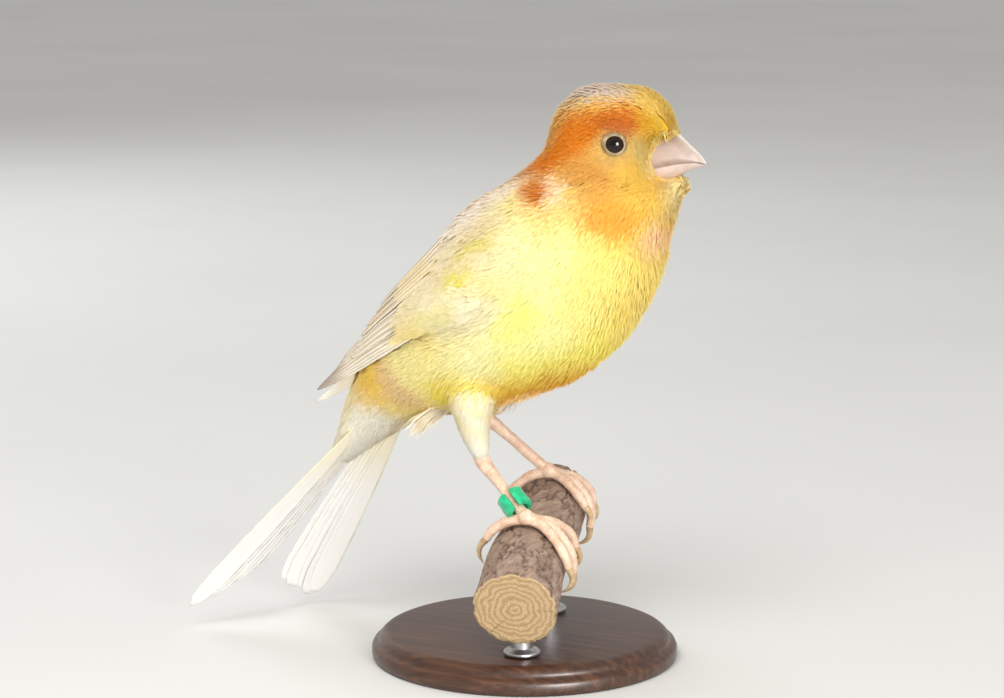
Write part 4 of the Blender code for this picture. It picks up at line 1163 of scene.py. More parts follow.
print("legs, perch and stand")
perchForm = {
    # The perch's top from behind the left foot to before the right one: x, y, z, radius.
    "rows": (
        (-8.0, 20.0, 1.9, 6.8), (-4.3, 11.0, 0.7, 6.9), (0.0, 0.0, -0.7, 7.1),
        (4.0, -12.0, -2.5, 7.3), (7.2, -20.0, -4.6, 7.5), (9.6, -26.5, -7.2, 7.7),
    ),
    "around": 150,
    "rings": 150,
    "roughness": 0.5,
    "fissure": 0.42,
}
legs = {
    "footPlace": {"right": 3.0, "left": 1.0},
    "ankle": {"right": (-6.3, -9.0, 7.3), "left": (-14.4, 6.0, 12.4)},
    "footHeight": 1.5,
    "gap": 0.3,
    "clear": 0.05,
    "tarsusRadius": (1.45, 1.1, 0.98, 1.0, 1.15),
    "toeRadius": (1.15, 0.95, 0.9, 0.8),
    "clawRadius": (0.72, 0.62, 0.5, 0.34, 0.08),
    # How far round the perch each toe and its claw reach in degrees, and how far it spreads.
    "toes": {
        "right": ((78, 108, -4.2), (97, 130, 0.4), (80, 112, 4.4), (-60, -94, -0.6)),
        "left": ((66, 96, 4.2), (104, 136, 0.6), (84, 114, -4.2), (-60, -94, 0.6)),
    },
    "scutes": 15,
}


def perchAxes(place):
    rows = perchForm["rows"]
    x, y, z, radius = smoothRows(rows, place)[0]
    before, after = smoothRows(rows, (place - 0.05, place + 0.05))
    along = Vector(after[:3] - before[:3]).normalized()
    up = (Vector((0, 0, 1)) - along * along.z).normalized()
    ahead = up.cross(along)
    if ahead.x < 0:
        ahead.negate()
    return Vector((x, y, z)) - up * radius, radius, along, up, ahead


def onPerch(place, degrees, spread, height):
    axis, radius, along, up, ahead = perchAxes(place)
    angle = math.radians(degrees)
    return axis + along * spread + (up * math.cos(angle) + ahead * math.sin(angle)) * (radius + height)


def scuteShape(count, depth, low, high):  # overlapping scales on the upper side of a limb
    def shape(v, angle):
        phase = (v * count) % 1.0
        on = max(math.cos(angle - math.pi / 2), 0.0) ** 0.5 if low < v < high else 0.0
        pads = 1 + 0.5 * depth * math.sin(v * count * 0.9) * max(-math.cos(angle - math.pi / 2), 0)
        return pads * (1 + depth * (phase - 0.6) * on)

    return shape


def makeLeg(side):
    place = legs["footPlace"][side]
    joint = onPerch(place, 0, 0, legs["gap"] + legs["footHeight"])
    ankle = Vector(legs["ankle"][side])
    along = (joint - ankle).normalized()
    heel = Vector(bird["thighs"][side][-2][:3])
    top = ankle - along * 0.5 + (heel - ankle).normalized() * 2.5
    lines = [top, ankle - along * 0.2] + [ankle.lerp(joint, share) for share in (0.2, 0.5, 0.8, 1.0)]
    shank = limb(lines, (1.3, 1.45, 1.1, 1.0, 1.0, 1.15), 28, 90, scuteShape(22, 0.12, 0.2, 0.99))
    addPiece("shank_" + side, meshOf("shank", shank), legSkin, "leg_skin", "tarsus_" + side)
    works = []
    ball = bmesh.new()
    bmesh.ops.create_uvsphere(ball, u_segments=28, v_segments=18, radius=legs["footHeight"])
    bmesh.ops.translate(ball, verts=ball.verts, vec=joint)
    works.append(ball)
    for number, (reach, clawReach, spread) in enumerate(legs["toes"][side]):
        points, radii = [joint], [legs["toeRadius"][0]]
        for share in np.linspace(0.16, 1, 9):
            radius = float(np.interp(share, np.linspace(0, 1, 4), legs["toeRadius"]))
            knuckle = 1 + 0.1 * math.cos(share * 2 * math.pi * 2.5)
            height = legs["gap"] + radius + legs["clear"]
            points.append(onPerch(place, reach * share, spread * float(ease(share * 1.2)), height))
            radii.append(radius * knuckle)
        works.append(limb(points, radii, 24, 90, scuteShape(legs["scutes"], 0.16, 0.12, 0.97)))
        claw = []
        for share in np.linspace(-0.08, 1, 9):
            degrees = reach + (clawReach - reach) * share
            arch = 0.75 * math.sin(math.pi * max(share, 0.0))
            height = legs["gap"] + legs["toeRadius"][-1] + arch - 0.4 * share
            claw.append(onPerch(place, degrees, spread, height))
        work = limb(claw, legs["clawRadius"], 20, 30)
        node = "claw_%s_%d" % (side, number + 1)
        addPiece("nail_%s_%d" % (side, number + 1), meshOf(node, work), clawHorn, "claw_horn", node)
    foot = addPiece("toes_" + side, meshOf("toes", joined(works)), legSkin, "leg_skin", "foot_" + side)
    remesh = foot.modifiers.new("remesh", "REMESH")
    remesh.mode = "VOXEL"
    remesh.voxel_size = 0.14 * mm
    smoothing = foot.modifiers.new("smooth", "SMOOTH")
    smoothing.iterations = 2
    graph = bpy.context.evaluated_depsgraph_get()
    made = bpy.data.meshes.new_from_object(foot.evaluated_get(graph))
    foot.modifiers.clear()
    foot.data = made
    made.shade_smooth()
    return ankle, joint


legLines = {side: makeLeg(side) for side in sides}
legRing = {
    "place": 0.75,
    "outer": 2.55,
    "inner": 1.55,
    "height": 3.6,
    "slit": 0.9,
    "facing": (0.5, -0.85, 0.2),
    "steps": 72,
}


def makeLegRing(s):
    ankle, joint = legLines["right"]
    centre, along = ankle.lerp(joint, s["place"]), (joint - ankle).normalized()
    facing = Vector(s["facing"])
    facing = (facing - along * facing.dot(along)).normalized()
    across = along.cross(facing)
    halfSlit = s["slit"] / (s["outer"] + s["inner"])
    half = s["height"] / 2
    section = ((s["inner"], -half), (s["outer"], -half), (s["outer"], half), (s["inner"], half))
    work = bmesh.new()
    corners = [work.verts.new((radius, 0, height)) for radius, height in section]
    face = work.faces.new(corners)
    bmesh.ops.rotate(work, verts=work.verts, cent=(0, 0, 0), matrix=Matrix.Rotation(halfSlit, 3, "Z"))
    bmesh.ops.spin(
        work, geom=[face, *face.edges, *face.verts], cent=(0, 0, 0), axis=(0, 0, 1),
        angle=2 * math.pi - 2 * halfSlit, steps=s["steps"],
    )
    bmesh.ops.recalc_face_normals(work, faces=work.faces)
    turn = Matrix((facing, across, along)).transposed().to_4x4()
    bmesh.ops.transform(work, matrix=Matrix.Translation(centre) @ turn, verts=work.verts)
    ring = addPiece("ring_band", meshOf("ring", work), greenPlastic, "ring_green", "leg_ring")
    rounding = ring.modifiers.new("edge", "BEVEL")
    rounding.width = 0.22 * mm
    rounding.segments = 3
    rounding.limit_method = "ANGLE"
    rounding.angle_limit = math.radians(50)


makeLegRing(legRing)


def makePerch(s):
    last = len(s["rows"]) - 1
    work = unitTube(s["around"], s["rings"])
    frames = {}
    depths = []

    def place(x, y, z):
        key = round(z * s["rings"])
        if key not in frames:
            frames[key] = perchAxes(z * last)
        axis, radius, along, up, ahead = frames[key]
        angle = math.atan2(y, x)
        length = z * 50
        probe = Vector((math.cos(angle) * 2.2, math.sin(angle) * 2.2, length * 0.11))
        crack = abs(noise.fractal(probe + Vector((3, 1, 7)), 0.7, 2.2, 4))
        fissure = max(0.0, 1 - crack / 0.16) * s["fissure"]
        lumps = 0.5 + 0.5 * noise.noise(Vector((math.cos(angle), math.sin(angle), length * 0.12)) * 1.4)
        grit = 0.5 + 0.5 * noise.noise(Vector((math.cos(angle) * 9, math.sin(angle) * 9, length * 0.9)))
        depth = fissure + s["roughness"] * (0.55 * lumps + 0.45 * grit)
        depths.append(min(fissure / s["fissure"], 1.0) * 0.8)
        return axis + (ahead * x + up * y) * (radius - depth)

    mould(work, place)
    bmesh.ops.recalc_face_normals(work, faces=work.faces)
    ends = [face for face in work.faces if len(face.verts) > 4]
    rings = {vert: 1.0 for vert in work.verts}
    for end in ends:
        end.material_index = 1
        centre = end.calc_center_median()
        rim = [(centre - vert.co).length for vert in end.verts]
        grown = bmesh.ops.inset_region(work, faces=[end], thickness=0.55, depth=0.0)["faces"]
        inner = bmesh.ops.poke(work, faces=[end])
        for face in inner["faces"]:
            face.material_index = 1
        for vert in inner["verts"]:
            rings[vert] = 0.0
        outside = max(rim)
        for face in inner["faces"]:
            for vert in face.verts:
                rings[vert] = (vert.co - centre).length / outside
        del grown
    work.verts.index_update()
    ringValues = [rings.get(vert, 1.0) for vert in work.verts]
    mesh = meshOf("branch", work)
    layer = mesh.attributes.new("depth", "FLOAT", "POINT")
    depths += [0.0] * (len(mesh.vertices) - len(depths))
    layer.data.foreach_set("value", depths)
    layer = mesh.attributes.new("rings", "FLOAT", "POINT")
    layer.data.foreach_set("value", ringValues)
    along = perchAxes(2.5)[2]
    turn = along.rotation_difference(Vector((0, 1, 0))).to_euler()
    piece = addPiece("branch", mesh, [barkMaterial(turn), cutWoodMaterial()], "bark", "perch")
    return piece


makePerch(perchForm)
stand = {
    "radius": 28.0,
    "top": 5.0 - 30.0,  # the base's top, below the feet
    "bottom": -30.0,
    # The base's section as shares of its radius and its thickness, turned on a lathe.
    "section": (
        (0.0, 0.0), (0.975, 0.0), (0.995, 0.08), (1.0, 0.2), (1.0, 0.42), (0.99, 0.54), (0.968, 0.60),
        (0.955, 0.64), (0.952, 0.72), (0.944, 0.82), (0.925, 0.92), (0.9, 0.98), (0.87, 1.0), (0.0, 1.0),
    ),
    "steps": 128,
    "rodRadius": 2.0,
    "rods": (0.9, 3.7),
    "collar": ((2.0, 2.6), (3.4, 0.0)),
}


def lathe(section, steps):
    work = bmesh.new()
    verts = [work.verts.new((radius, 0, height)) for radius, height in section]
    edges = [work.edges.new(pair) for pair in zip(verts, verts[1:])]
    bmesh.ops.spin(
        work, geom=verts + edges, cent=(0, 0, 0), axis=(0, 0, 1), angle=2 * math.pi, steps=steps,
        use_merge=True,
    )
    bmesh.ops.remove_doubles(work, verts=work.verts, dist=0.0005)
    bmesh.ops.recalc_face_normals(work, faces=work.faces)
    return work


def makeStand(s):
    thick = s["top"] - s["bottom"]
    section = [(radius * s["radius"], s["bottom"] + height * thick) for radius, height in s["section"]]
    work = lathe(section, s["steps"])
    bmesh.ops.translate(work, verts=work.verts, vec=(-feet.x, -feet.y, 0))
    base = addPiece("stand_disc", meshOf("disc", work), standWoodMaterial(), "stand_wood", "stand_base")
    base.data.set_sharp_from_angle(angle=math.radians(50))
    steel = steelMaterial()
    for number, place in enumerate(s["rods"], 1):
        axis, radius = perchAxes(place)[:2]
        radiusRod = s["rodRadius"]
        low = s["top"] + 0.3
        high = axis.z - radius * 0.72
        section = (
            (0, low), (radiusRod + 1.2, low), (radiusRod + 1.3, low + 0.15), (radiusRod + 1.3, low + 0.5),
            (radiusRod + 1.1, low + 0.75), (radiusRod + 0.25, low + 0.95), (radiusRod, low + 1.2),
            (radiusRod, high), (0, high),
        )
        work = lathe(section, 48)
        bmesh.ops.translate(work, verts=work.verts, vec=(axis.x, axis.y, 0))
        rod = addPiece(
            "stand_post_%d" % number, meshOf("post", work), steel, "stand_steel", "stand_rod_%d" % number
        )
        rod.data.set_sharp_from_angle(angle=math.radians(40))


makeStand(stand)

print("coat")
coat = {
    "lockShape": ((0.0, 0.5), (0.34, 1.0), (0.72, 0.72)),  # length share and width share
    "lockHeight": 0.14,
    "softNormal": 0.6,  # how far the shading follows the body instead of each lock
    "lapEnd": -15.0,  # behind this the feathers stay under the wing
    "perPiece": 11500,
    "shownAt": 0.5,  # a feather takes the colour of the place that this share of it reaches
    "coverLift": 0.4,  # how far soft feathers lie above the vanes they reach over
    # Values over the bird: feathers per square mm, then length and width of a feather in mm.
    "density": 1.85,
    "densities": (
        ("head", (14, 0, 64), (22, 0, 65), 11.5, 8.5, 1.0),
        ("face", (24, 0, 64), (20, 7, 64), 6.0, 15.0, 1.0),
        ("thigh", (-8.4, 9.6, 17), (-6.6, 9.1, 8), 5.0, 7.0, 1.0),
    ),
    "length": 5.2,
    "lengths": (
        ("flank", (-8, 14, 22), (-24, 9, 16), 8.0, 6.6, 0.9),
        ("belly edge", (12, 0, 26), (-14, 0, 14), 7.0, 6.6, 0.9),
        ("breast", (12, 10, 46), (8, 12, 38), 8.0, 5.0, 0.9),
        ("wing", (0, 18, 47), (-12, 17, 38), 7.0, 4.6, 1.0),
        ("coverts", (-33, 0, 12), (-43, 0, 3), 8.0, 8.5, 1.0),
        ("head", (14, 0, 64), (22, 0, 65), 11.5, 2.5, 1.0),
        ("throat", (23, 0, 54), (22, 0, 50), 6.0, 3.4, 0.8),
        ("face", (23, 0, 64), (19, 6, 64), 5.5, 1.25, 1.0),
        ("bill edge", (24, 2, 67), (22, 4, 62), 2.6, 1.1, 1.0),
        ("eye", (16.2, 9, 66), (16.2, 10, 66), 3.6, 1.0, 1.0),
        ("thigh", (-8.4, 9.6, 17), (-6.6, 9.1, 8), 5.0, 2.0, 1.0),
        ("left thigh", (-12.6, 8, 18), (-14.3, 6.4, 13), 4.0, 2.4, 1.0),
    ),
    "fullness": 0.0,  # how much further the feathers stand out, in mm
    "fullnesses": (
        ("breast", (21, 0, 46), (10, 0, 29), 7.0, 1.1, 1.0),
        ("forehead", (24, 0, 72), (25, 0, 70), 3.0, 0.3, 1.0),
        ("crown back", (5, 0, 73), (9.5, 0, 75.5), 4.0, 1.1, 1.0),
        ("nape", (0.5, 0, 66), (3, 0, 70), 3.4, 0.7, 1.0),
        ("throat", (26, 0, 55.2), (24.8, 0, 52.4), 2.6, 0.6, 1.0),
    ),
    "width": 1.8,
    "widths": (
        ("head", (14, 0, 64), (22, 0, 65), 11.5, 0.75, 1.0),
        ("face", (23, 0, 64), (19, 6, 64), 5.5, 0.45, 1.0),
        ("thigh", (-8.4, 9.6, 17), (-6.6, 9.1, 8), 5.0, 0.6, 1.0),
    ),
}


def lockTemplate(shape, height):  # a thin three-sided lock: u across, v along, h up
    work = bmesh.new()
    corners = [work.verts.new((-0.5, 0, 0)), work.verts.new((0.5, 0, 0)), work.verts.new((0, 0, 1))]
    face = work.faces.new(corners)
    for _ in shape[1:]:
        face = bmesh.ops.extrude_discrete_faces(work, faces=[face])["faces"][0]
        bmesh.ops.translate(work, verts=face.verts, vec=(0, 1, 0))
    peak = bmesh.ops.poke(work, faces=[face])["verts"]
    bmesh.ops.translate(work, verts=peak, vec=(0, 1, 0))
    bmesh.ops.holes_fill(work, edges=[edge for edge in work.edges if edge.is_boundary])
    bmesh.ops.recalc_face_normals(work, faces=work.faces)
    points, faces = arraysOf(work)
    steps = np.round(points[:, 1]).astype(int)
    places = [row[0] for row in shape] + [1.0]
    widths = [row[1] for row in shape] + [0.0]
    points[:, 0] *= np.array(widths)[steps]
    points[:, 2] *= np.array(widths)[steps] * height
    points[:, 1] = np.array(places)[steps]
    return points, faces


lockPoints, lockFaces = lockTemplate(coat["lockShape"], coat["lockHeight"])
print("lock", len(lockPoints), "points", len(lockFaces), "triangles")


def skinArrays(skin):
    mesh = skin.data
    mesh.calc_loop_triangles()
    points = np.empty(len(mesh.vertices) * 3)
    mesh.vertices.foreach_get("co", points)
    points = points.reshape(-1, 3) / mm - np.array(feet)
    normals = np.empty(len(mesh.vertices) * 3)
    mesh.vertices.foreach_get("normal", normals)
    triangles = np.empty(len(mesh.loop_triangles) * 3, np.int32)
    mesh.loop_triangles.foreach_get("vertices", triangles)
    loops = np.empty(len(mesh.loop_triangles) * 3, np.int32)
    mesh.loop_triangles.foreach_get("loops", loops)
    uv = np.empty(len(mesh.loops) * 2)
    mesh.uv_layers["OFBake"].data.foreach_get("uv", uv)
    return (
        points, normals.reshape(-1, 3), triangles.reshape(-1, 3), loops.reshape(-1, 3), uv.reshape(-1, 2)
    )


skinPoints, skinNormals, skinTriangles, skinLoops, skinMap = skinArrays(skin)
skinTree = BVHTree.FromPolygons(skinPoints.tolist(), skinTriangles.tolist())
print("skin", skinPoints.min(axis=0).round(1), skinPoints.max(axis=0).round(1))


def treeOf(piece):
    graph = bpy.context.evaluated_depsgraph_get()
    mesh = piece.evaluated_get(graph).to_mesh()
    points = [vert.co / mm - feet for vert in mesh.vertices]
    return BVHTree.FromPolygons(points, [tuple(face.vertices) for face in mesh.polygons])


wingTrees = [treeOf(piece) for piece in wingPieces.values()]
billTrees = [treeOf(bpy.data.objects[name]) for name in ("bill_top", "bill_base")]
eyeFrames = {side: eyeFrame(side) for side in sides}


def sowRoots(rng):
    corners = skinPoints[skinTriangles]
    area = np.linalg.norm(np.cross(corners[:, 1] - corners[:, 0], corners[:, 2] - corners[:, 0]), axis=1) / 2
    places = markPlaces(corners.mean(axis=1))
    wanted = area * blend(places, coat["density"], coat["densities"])[:, 0]
    total = np.cumsum(wanted)
    count = int(total[-1])
    picks = (np.arange(count) + rng.random(count)) / count * total[-1]
    chosen = np.minimum(np.searchsorted(total, picks), len(total) - 1)
    a, b = rng.random(count), rng.random(count)
    fold = a + b > 1
    a, b = np.where(fold, 1 - a, a), np.where(fold, 1 - b, b)
    weights = np.stack([1 - a - b, a, b], axis=1)[:, :, None]
    points = (corners[chosen] * weights).sum(axis=1)
    normals = unit((skinNormals[skinTriangles[chosen]] * weights).sum(axis=1))
    places = (skinMap[skinLoops[chosen]] * weights).sum(axis=1)
    return points, normals, places


def spineWays():
    rows = np.array(bird["body"] + bird["head"], float)[:14]
    shares = ease((np.arange(len(rows)) - bird["turnStart"]) / bird["turnSteps"])
    line = np.array([turned((row[0], 0, row[1]), float(share)) for row, share in zip(rows, shares)])
    return line, -unit(np.gradient(line, axis=0))


def wingGrid(side, low=0.0, high=0.55):
    s, t = np.meshgrid(np.linspace(low, high, 14), np.linspace(0, 1, 8))
    s, t = s.ravel(), t.ravel()
    ways = unit(wingPoints(side, s + 0.02, t) - wingPoints(side, s - 0.02, t))
    return wingPoints(side, s, t), ways


def lieOf(points, normals):
    # Feathers lie from the bill back along the spine, down the thighs and along the wings.
    rows, ways = spineWays()
    gap = np.linalg.norm(points[:, None] - rows[None], axis=2)
    weight = np.exp(-((gap - gap.min(axis=1, keepdims=True)) / 6.0) ** 2)
    lie = unit((weight[:, :, None] * ways[None]).sum(axis=1))
    away = points - np.array(turned(bird["billRoot"]))
    near = np.exp(-((np.linalg.norm(away, axis=1) / 8.0) ** 2))[:, None]
    lie = lie * (1 - near) + unit(away) * near
    for line in bird["thighs"].values():
        for start, end in zip(line, line[1:]):
            start, end = np.array(start[:3]), np.array(end[:3])
            inside = np.exp(-((segmentDistance(points, start, end) / 5.0) ** 6))[:, None]
            lie = lie * (1 - inside) + (unit(end - start) + np.array((-0.3, 0, 0))) * inside
    for side in sides:
        grid, ways = wingGrid(side)
        close, gap = nearest(points, grid)
        inside = np.exp(-((gap / 4.5) ** 6))[:, None]
        lie = lie * (1 - inside) + ways[close] * inside
        along = np.linspace(-0.02, 0.42, 20)
        edge, above = wingPoints(side, along, 0.0), wingPoints(side, along, 0.12)
        close, gap = nearest(points, edge)
        inside = np.exp(-((gap / 3.6) ** 2))[:, None]
        lie = lie + unit(above - edge)[close] * inside * 0.7  # breast feathers lap over the wing
    for centre, facing, _, _ in eyeFrames.values():
        centre, facing = np.array(centre), np.array(facing)
        reach = np.linalg.norm(points - centre, axis=1)
        away = points - centre - np.outer((points - centre) @ facing, facing)
        near = np.exp(-np.maximum(np.linalg.norm(away, axis=1) - 2.4, 0) / 1.2) * (reach < 8)
        lie = lie + unit(away) * near[:, None] * 1.1
    lie = lie - normals * (lie * normals).sum(axis=1)[:, None]
    return unit(lie)


def isInside(tree, point):
    place, normal, _, _ = tree.find_nearest(point)
    return place is not None and (point - place).dot(normal) < 0


def eyeReach(point):  # distance from the nearer eye's axis, or far away
    best = 99.0
    for centre, facing, ahead, up in eyeFrames.values():
        offset = point - centre
        if offset.dot(facing) > -1.0:
            best = min(best, (offset - facing * offset.dot(facing)).length)
    return best


def vaneOver(point, up, reach=9.0):  # the outermost vane above a point of the skin
    best = None
    for tree in wingTrees:
        place, normal, _, gap = tree.ray_cast(point + up * reach, -up, reach)
        if place is not None and (best is None or gap < best[2]):
            best = (place, normal if normal.dot(up) > 0 else -normal, gap)
    return best


class Locks:  # what grows each lock: its root, the way it starts, its tip, its size and its colour
    def __init__(self):
        self.rows = []
        self.heads = []

    def add(self, root, up, way, tip, tipUp, width, rise, colour, place, isHead):
        self.rows.append((*root, *up, *way, *tip, *tipUp, width, rise, *colour, *place))
        self.heads.append(isHead)


def growLocks(rows):
    # Each lock bends from its root to its tip over a control point above their middle.
    roots, ups, ways, tips, tipUps = (rows[:, k : k + 3] for k in (0, 3, 6, 9, 12))
    widths, rises = rows[:, 15, None, None], rows[:, 16, None]
    reach = np.linalg.norm(tips - roots, axis=1)[:, None]
    middle = roots + ways * reach * 0.45 + ups * rises
    u, v, h = (part[None, :, None] for part in lockPoints.T)
    roots, middle, tips = roots[:, None], middle[:, None], tips[:, None]
    line = roots * (1 - v) ** 2 + middle * 2 * v * (1 - v) + tips * v**2
    along = unit((middle - roots) * (1 - v) + (tips - middle) * v)
    across = unit(np.cross(along, unit(ups[:, None] * (1 - v) + tipUps[:, None] * v)))
    above = np.cross(across, along)
    points = line + (across * u + above * h) * widths
    own = unit(above + across * u * 0.9)
    body = unit(ups[:, None] * (1 - v) + tipUps[:, None] * v)
    soft = coat["softNormal"] * np.clip((own * body).sum(axis=2, keepdims=True) * 2 - 0.4, 0, 1)
    return points, unit(own * (1 - soft) + body * soft), -above


def lockColours(base, rng):  # Painted shade: darker at the root, where the locks lying over it would shade it, paler at the tip, with each lock its own tone.
    tone = rng.uniform(0.94, 1.04, len(base))[:, None, None]
    v = lockPoints[:, 1][None, :, None]
    # The root is painted darker as painted shade.
    colours = base[:, None] * (0.97 + 0.05 * v) * tone
    pale = rng.uniform(0.0, 0.03, len(base))[:, None, None] * v
    return np.clip(colours + (1.0 - colours) * pale, 0.0, 1.0)


def lockPiece(name, rows, slotName, rng):
    points, normals, below = growLocks(rows)
    count, each = points.shape[:2]
    faces = (lockFaces[None] + (np.arange(count) * each)[:, None, None]).reshape(-1, 3)
    corner = lockFaces.ravel()
    isUnder = np.repeat(lockPoints[lockFaces][:, :, 2].max(axis=1) < 0.01, 3)[None, :, None]
    normals = np.where(isUnder, below[:, corner], normals[:, corner])
    patch = np.stack([lockPoints[corner, 0] * 0.003, (lockPoints[corner, 1] - 0.5) * 0.003], axis=1)
    patch[:, 0] += lockPoints[corner, 2] * 0.0006
    maps = {"OFBake": (rows[:, 20:22][:, None] + patch[None]).reshape(-1, 2)}
    colours = lockColours(rows[:, 17:20], rng).reshape(-1, 3)
    mesh = meshFromArrays(name, points.reshape(-1, 3), faces, colours, maps, normals.reshape(-1, 3))
    return addPiece(name, mesh, softFeather, slotName)


def rootsKept(points, normals, lie, length, depth, rng):
    # Leaves out what would grow in the bill, on the eyes or under the wings' long vanes.
    for number in range(len(points)):
        root, up, way = Vector(points[number]), Vector(normals[number]), Vector(lie[number])
        if root.z > 55 and root.x > 12 and any(isInside(tree, root + up * 0.15) for tree in billTrees):
            continue
        if eyeReach(root) < 1.9:
            continue
        over = vaneOver(root, up)
        under = over is not None and 9.0 - over[2] > 0.1
        if under:
            if rng.random() < 0.7:
                continue
            length[number] *= 0.6
            depth[number] *= 0.3
        reach = length[number] * rng.uniform(0.85, 1.15)
        while reach > 0.3 and eyeReach(root + way * reach) < 1.75:
            reach *= 0.7
        if reach < 0.4:
            continue
        length[number] = reach
        yield number, root, up, way, under


def makeCoat(rng):
    points, normals, maps = sowRoots(rng)
    lie = lieOf(points, normals)
    places = markPlaces(points)
    length = blend(places, coat["length"], coat["lengths"])[:, 0]
    width = blend(places, coat["width"], coat["widths"])[:, 0]
    depth = blend(places, skinForm["depth"], skinForm["depths"])[:, 0]
    fullness = blend(places, coat["fullness"], coat["fullnesses"])[:, 0]
    colour = plumageColour(points + lie * (length * coat["shownAt"])[:, None])
    isHead = neckShare(points) > 0.55
    locks = Locks()
    for number, root, up, way, under in rootsKept(points, normals, lie, length, depth, rng):
        count = 3 if isHead[number] else 5
        side = up.cross(way)
        spread = 0.5 if isHead[number] else 0.34
        skew = rng.normal(0, 0.12)
        high = (depth[number] + fullness[number]) * rng.uniform(0.75, 1.1)
        for turn in np.linspace(-1, 1, count):
            angle = turn * spread * 0.5 + skew + rng.normal(0, 0.05)
            heading = way * math.cos(angle) + side * math.sin(angle)
            reach = length[number] * (1 - 0.22 * turn**2) * rng.uniform(0.9, 1.08)
            start = root + side * turn * width[number] * 0.22
            place, normal, _, _ = skinTree.find_nearest(start + heading * reach)
            raised = high
            over = None if under else vaneOver(place, normal)
            if over is not None and over[0].x < coat["lapEnd"]:
                raised = high * 0.2
            elif over is not None and 9.0 - over[2] < 4.0:
                place, normal = over[0], over[1]
                raised = min(high, coat["coverLift"])
            tip = place + normal * raised * rng.uniform(0.85, 1.1)
            wide = width[number] * (0.36 if count == 5 else 0.5) * rng.uniform(0.85, 1.15)
            rise = (depth[number] + fullness[number]) * 0.55
            locks.add(
                start - up * 0.12, up, heading, tip, normal, wide, rise, colour[number], maps[number],
                isHead[number],
            )
    return locks


looseTufts = (
    # Name, whether it turns with the head, the line of its roots, how wide it is sown, how many
    # locks, shortest and longest, lowest and highest rise in degrees, a push, width and colour.
    ("crown", True, (8.5, 0.8, 74), (17, 1.0, 75), 2.2, 420, (2.4, 3.8), (1, 7), (0, 0, 0), 0.5,
     tint(228, 204, 180)),
    ("crown back", True, (5, 1.0, 71), (9, 1.2, 74), 1.6, 130, (2.8, 4.4), (2, 9), (-0.3, 0, 0.1), 0.5,
     tint(232, 208, 186)),
    ("forehead", True, (19, 0.5, 75), (23, 0.5, 73.5), 2.6, 200, (1.6, 2.6), (1, 8), (0, 0, 0), 0.4,
     tint(232, 196, 104)),
    ("nape", True, (2, 2, 64), (5, 3, 70), 2.6, 160, (2.2, 3.6), (2, 11), (0, 0, 0), 0.4,
     tint(222, 146, 66)),
    ("chin", True, (26.2, 0, 57.2), (25.4, -2.0, 55.8), 1.6, 160, (0.9, 1.5), (0, 5), (0, 0, -0.2), 0.34,
     tint(236, 214, 152)),
    ("nasal right", True, (25.4, -1.8, 68.8), (22.8, -4.5, 66.2), 1.0, 380, (1.2, 2.1), (0, 7),
     (2.4, -0.2, -2.0), 0.26, tint(242, 214, 120)),
    ("nasal left", True, (25.4, 1.8, 68.8), (22.8, 4.5, 66.2), 1.0, 380, (1.2, 2.1), (0, 7),
     (2.4, 0.2, -2.0), 0.26, tint(242, 214, 120)),
    ("nasal ridge", True, (26.4, -0.8, 68.6), (26.4, 0.8, 68.6), 0.9, 150, (1.1, 2.0), (0, 9),
     (2.6, 0, -1.6), 0.24, tint(246, 220, 130)),
    ("chin bristles", True, (28, 0, 57), (27, -1.6, 55), 1.2, 8, (1.2, 1.8), (8, 18),
     (0.2, 0, -0.5), 0.06, tint(190, 174, 130)),
    ("lore right", True, (22.4, -4.2, 66.0), (21.2, -4.8, 60.6), 1.0, 260, (0.9, 1.6), (2, 11),
     (1.8, 0.5, -0.5), 0.2, tint(240, 208, 136)),
    ("lore left", True, (22.4, 4.2, 66.0), (21.2, 4.8, 60.6), 1.0, 260, (0.9, 1.6), (2, 11),
     (1.6, -0.4, -0.5), 0.2, tint(240, 208, 136)),
    ("throat fringe", True, (24, 0, 53), (22.5, 0, 47), 2.6, 240, (2.4, 3.8), (2, 14), (0, 0, -0.2), 0.4,
     tint(250, 218, 176)),
    ("vent", False, (-14, -6, 14), (-16, -7.5, 14), 1.0, 60, (6.0, 10.0), (20, 36), (-2, -0.3, -0.2),
     0.3, tint(250, 236, 204)),
    ("belly fringe", False, (8, -2, 22), (-3, -4, 16.5), 2.2, 220, (3.0, 4.6), (3, 14), (0, 0, -0.2), 0.4,
     tint(250, 206, 128)),
    ("left flank wisps", False, (0, 3, 17), (-6, 5, 15), 2.0, 60, (4.5, 7.0), (8, 24), (0, 0, -0.4), 0.36,
     tint(250, 246, 240)),
)


def makeTufts(locks, rng):
    for _, onHead, start, end, spread, count, lengths, rises, push, width, colour in looseTufts:
        start, end = (turned(place) if onHead else Vector(place) for place in (start, end))
        for _ in range(count):
            aim = start.lerp(end, rng.random()) + Vector(rng.normal(0, spread * 0.5, 3))
            root, up, index, _ = skinTree.find_nearest(aim)
            if onHead and any(isInside(tree, root + up * 0.15) for tree in billTrees):
                continue
            corners = skinMap[skinLoops[index]].mean(axis=0)
            lie = Vector(lieOf(np.array([root]), np.array([up]))[0])
            way = (lie + Vector(push) + Vector(rng.normal(0, 0.12, 3))).normalized()
            rise = math.radians(rng.uniform(*rises))
            way = (way - up * way.dot(up)).normalized()
            reach = rng.uniform(*lengths)
            depth = float(blend(markPlaces(np.array([root])), skinForm["depth"], skinForm["depths"])[0, 0])
            tip = root + way * reach * math.cos(rise) + up * (reach * math.sin(rise) + depth * 0.8)
            if not onHead:  # what hangs from the belly shows its broad side to the side
                up = (up * 0.2 + Vector((0.3, math.copysign(1, root.y), 0.4))).normalized()
            tone = np.clip(np.array(colour) * rng.uniform(0.86, 1.1), 0, 1)
            wide = width * rng.uniform(0.8, 1.2)
            locks.add(root - up * 0.1, up, way, tip, up, wide, depth * 0.7, tone, corners, onHead)


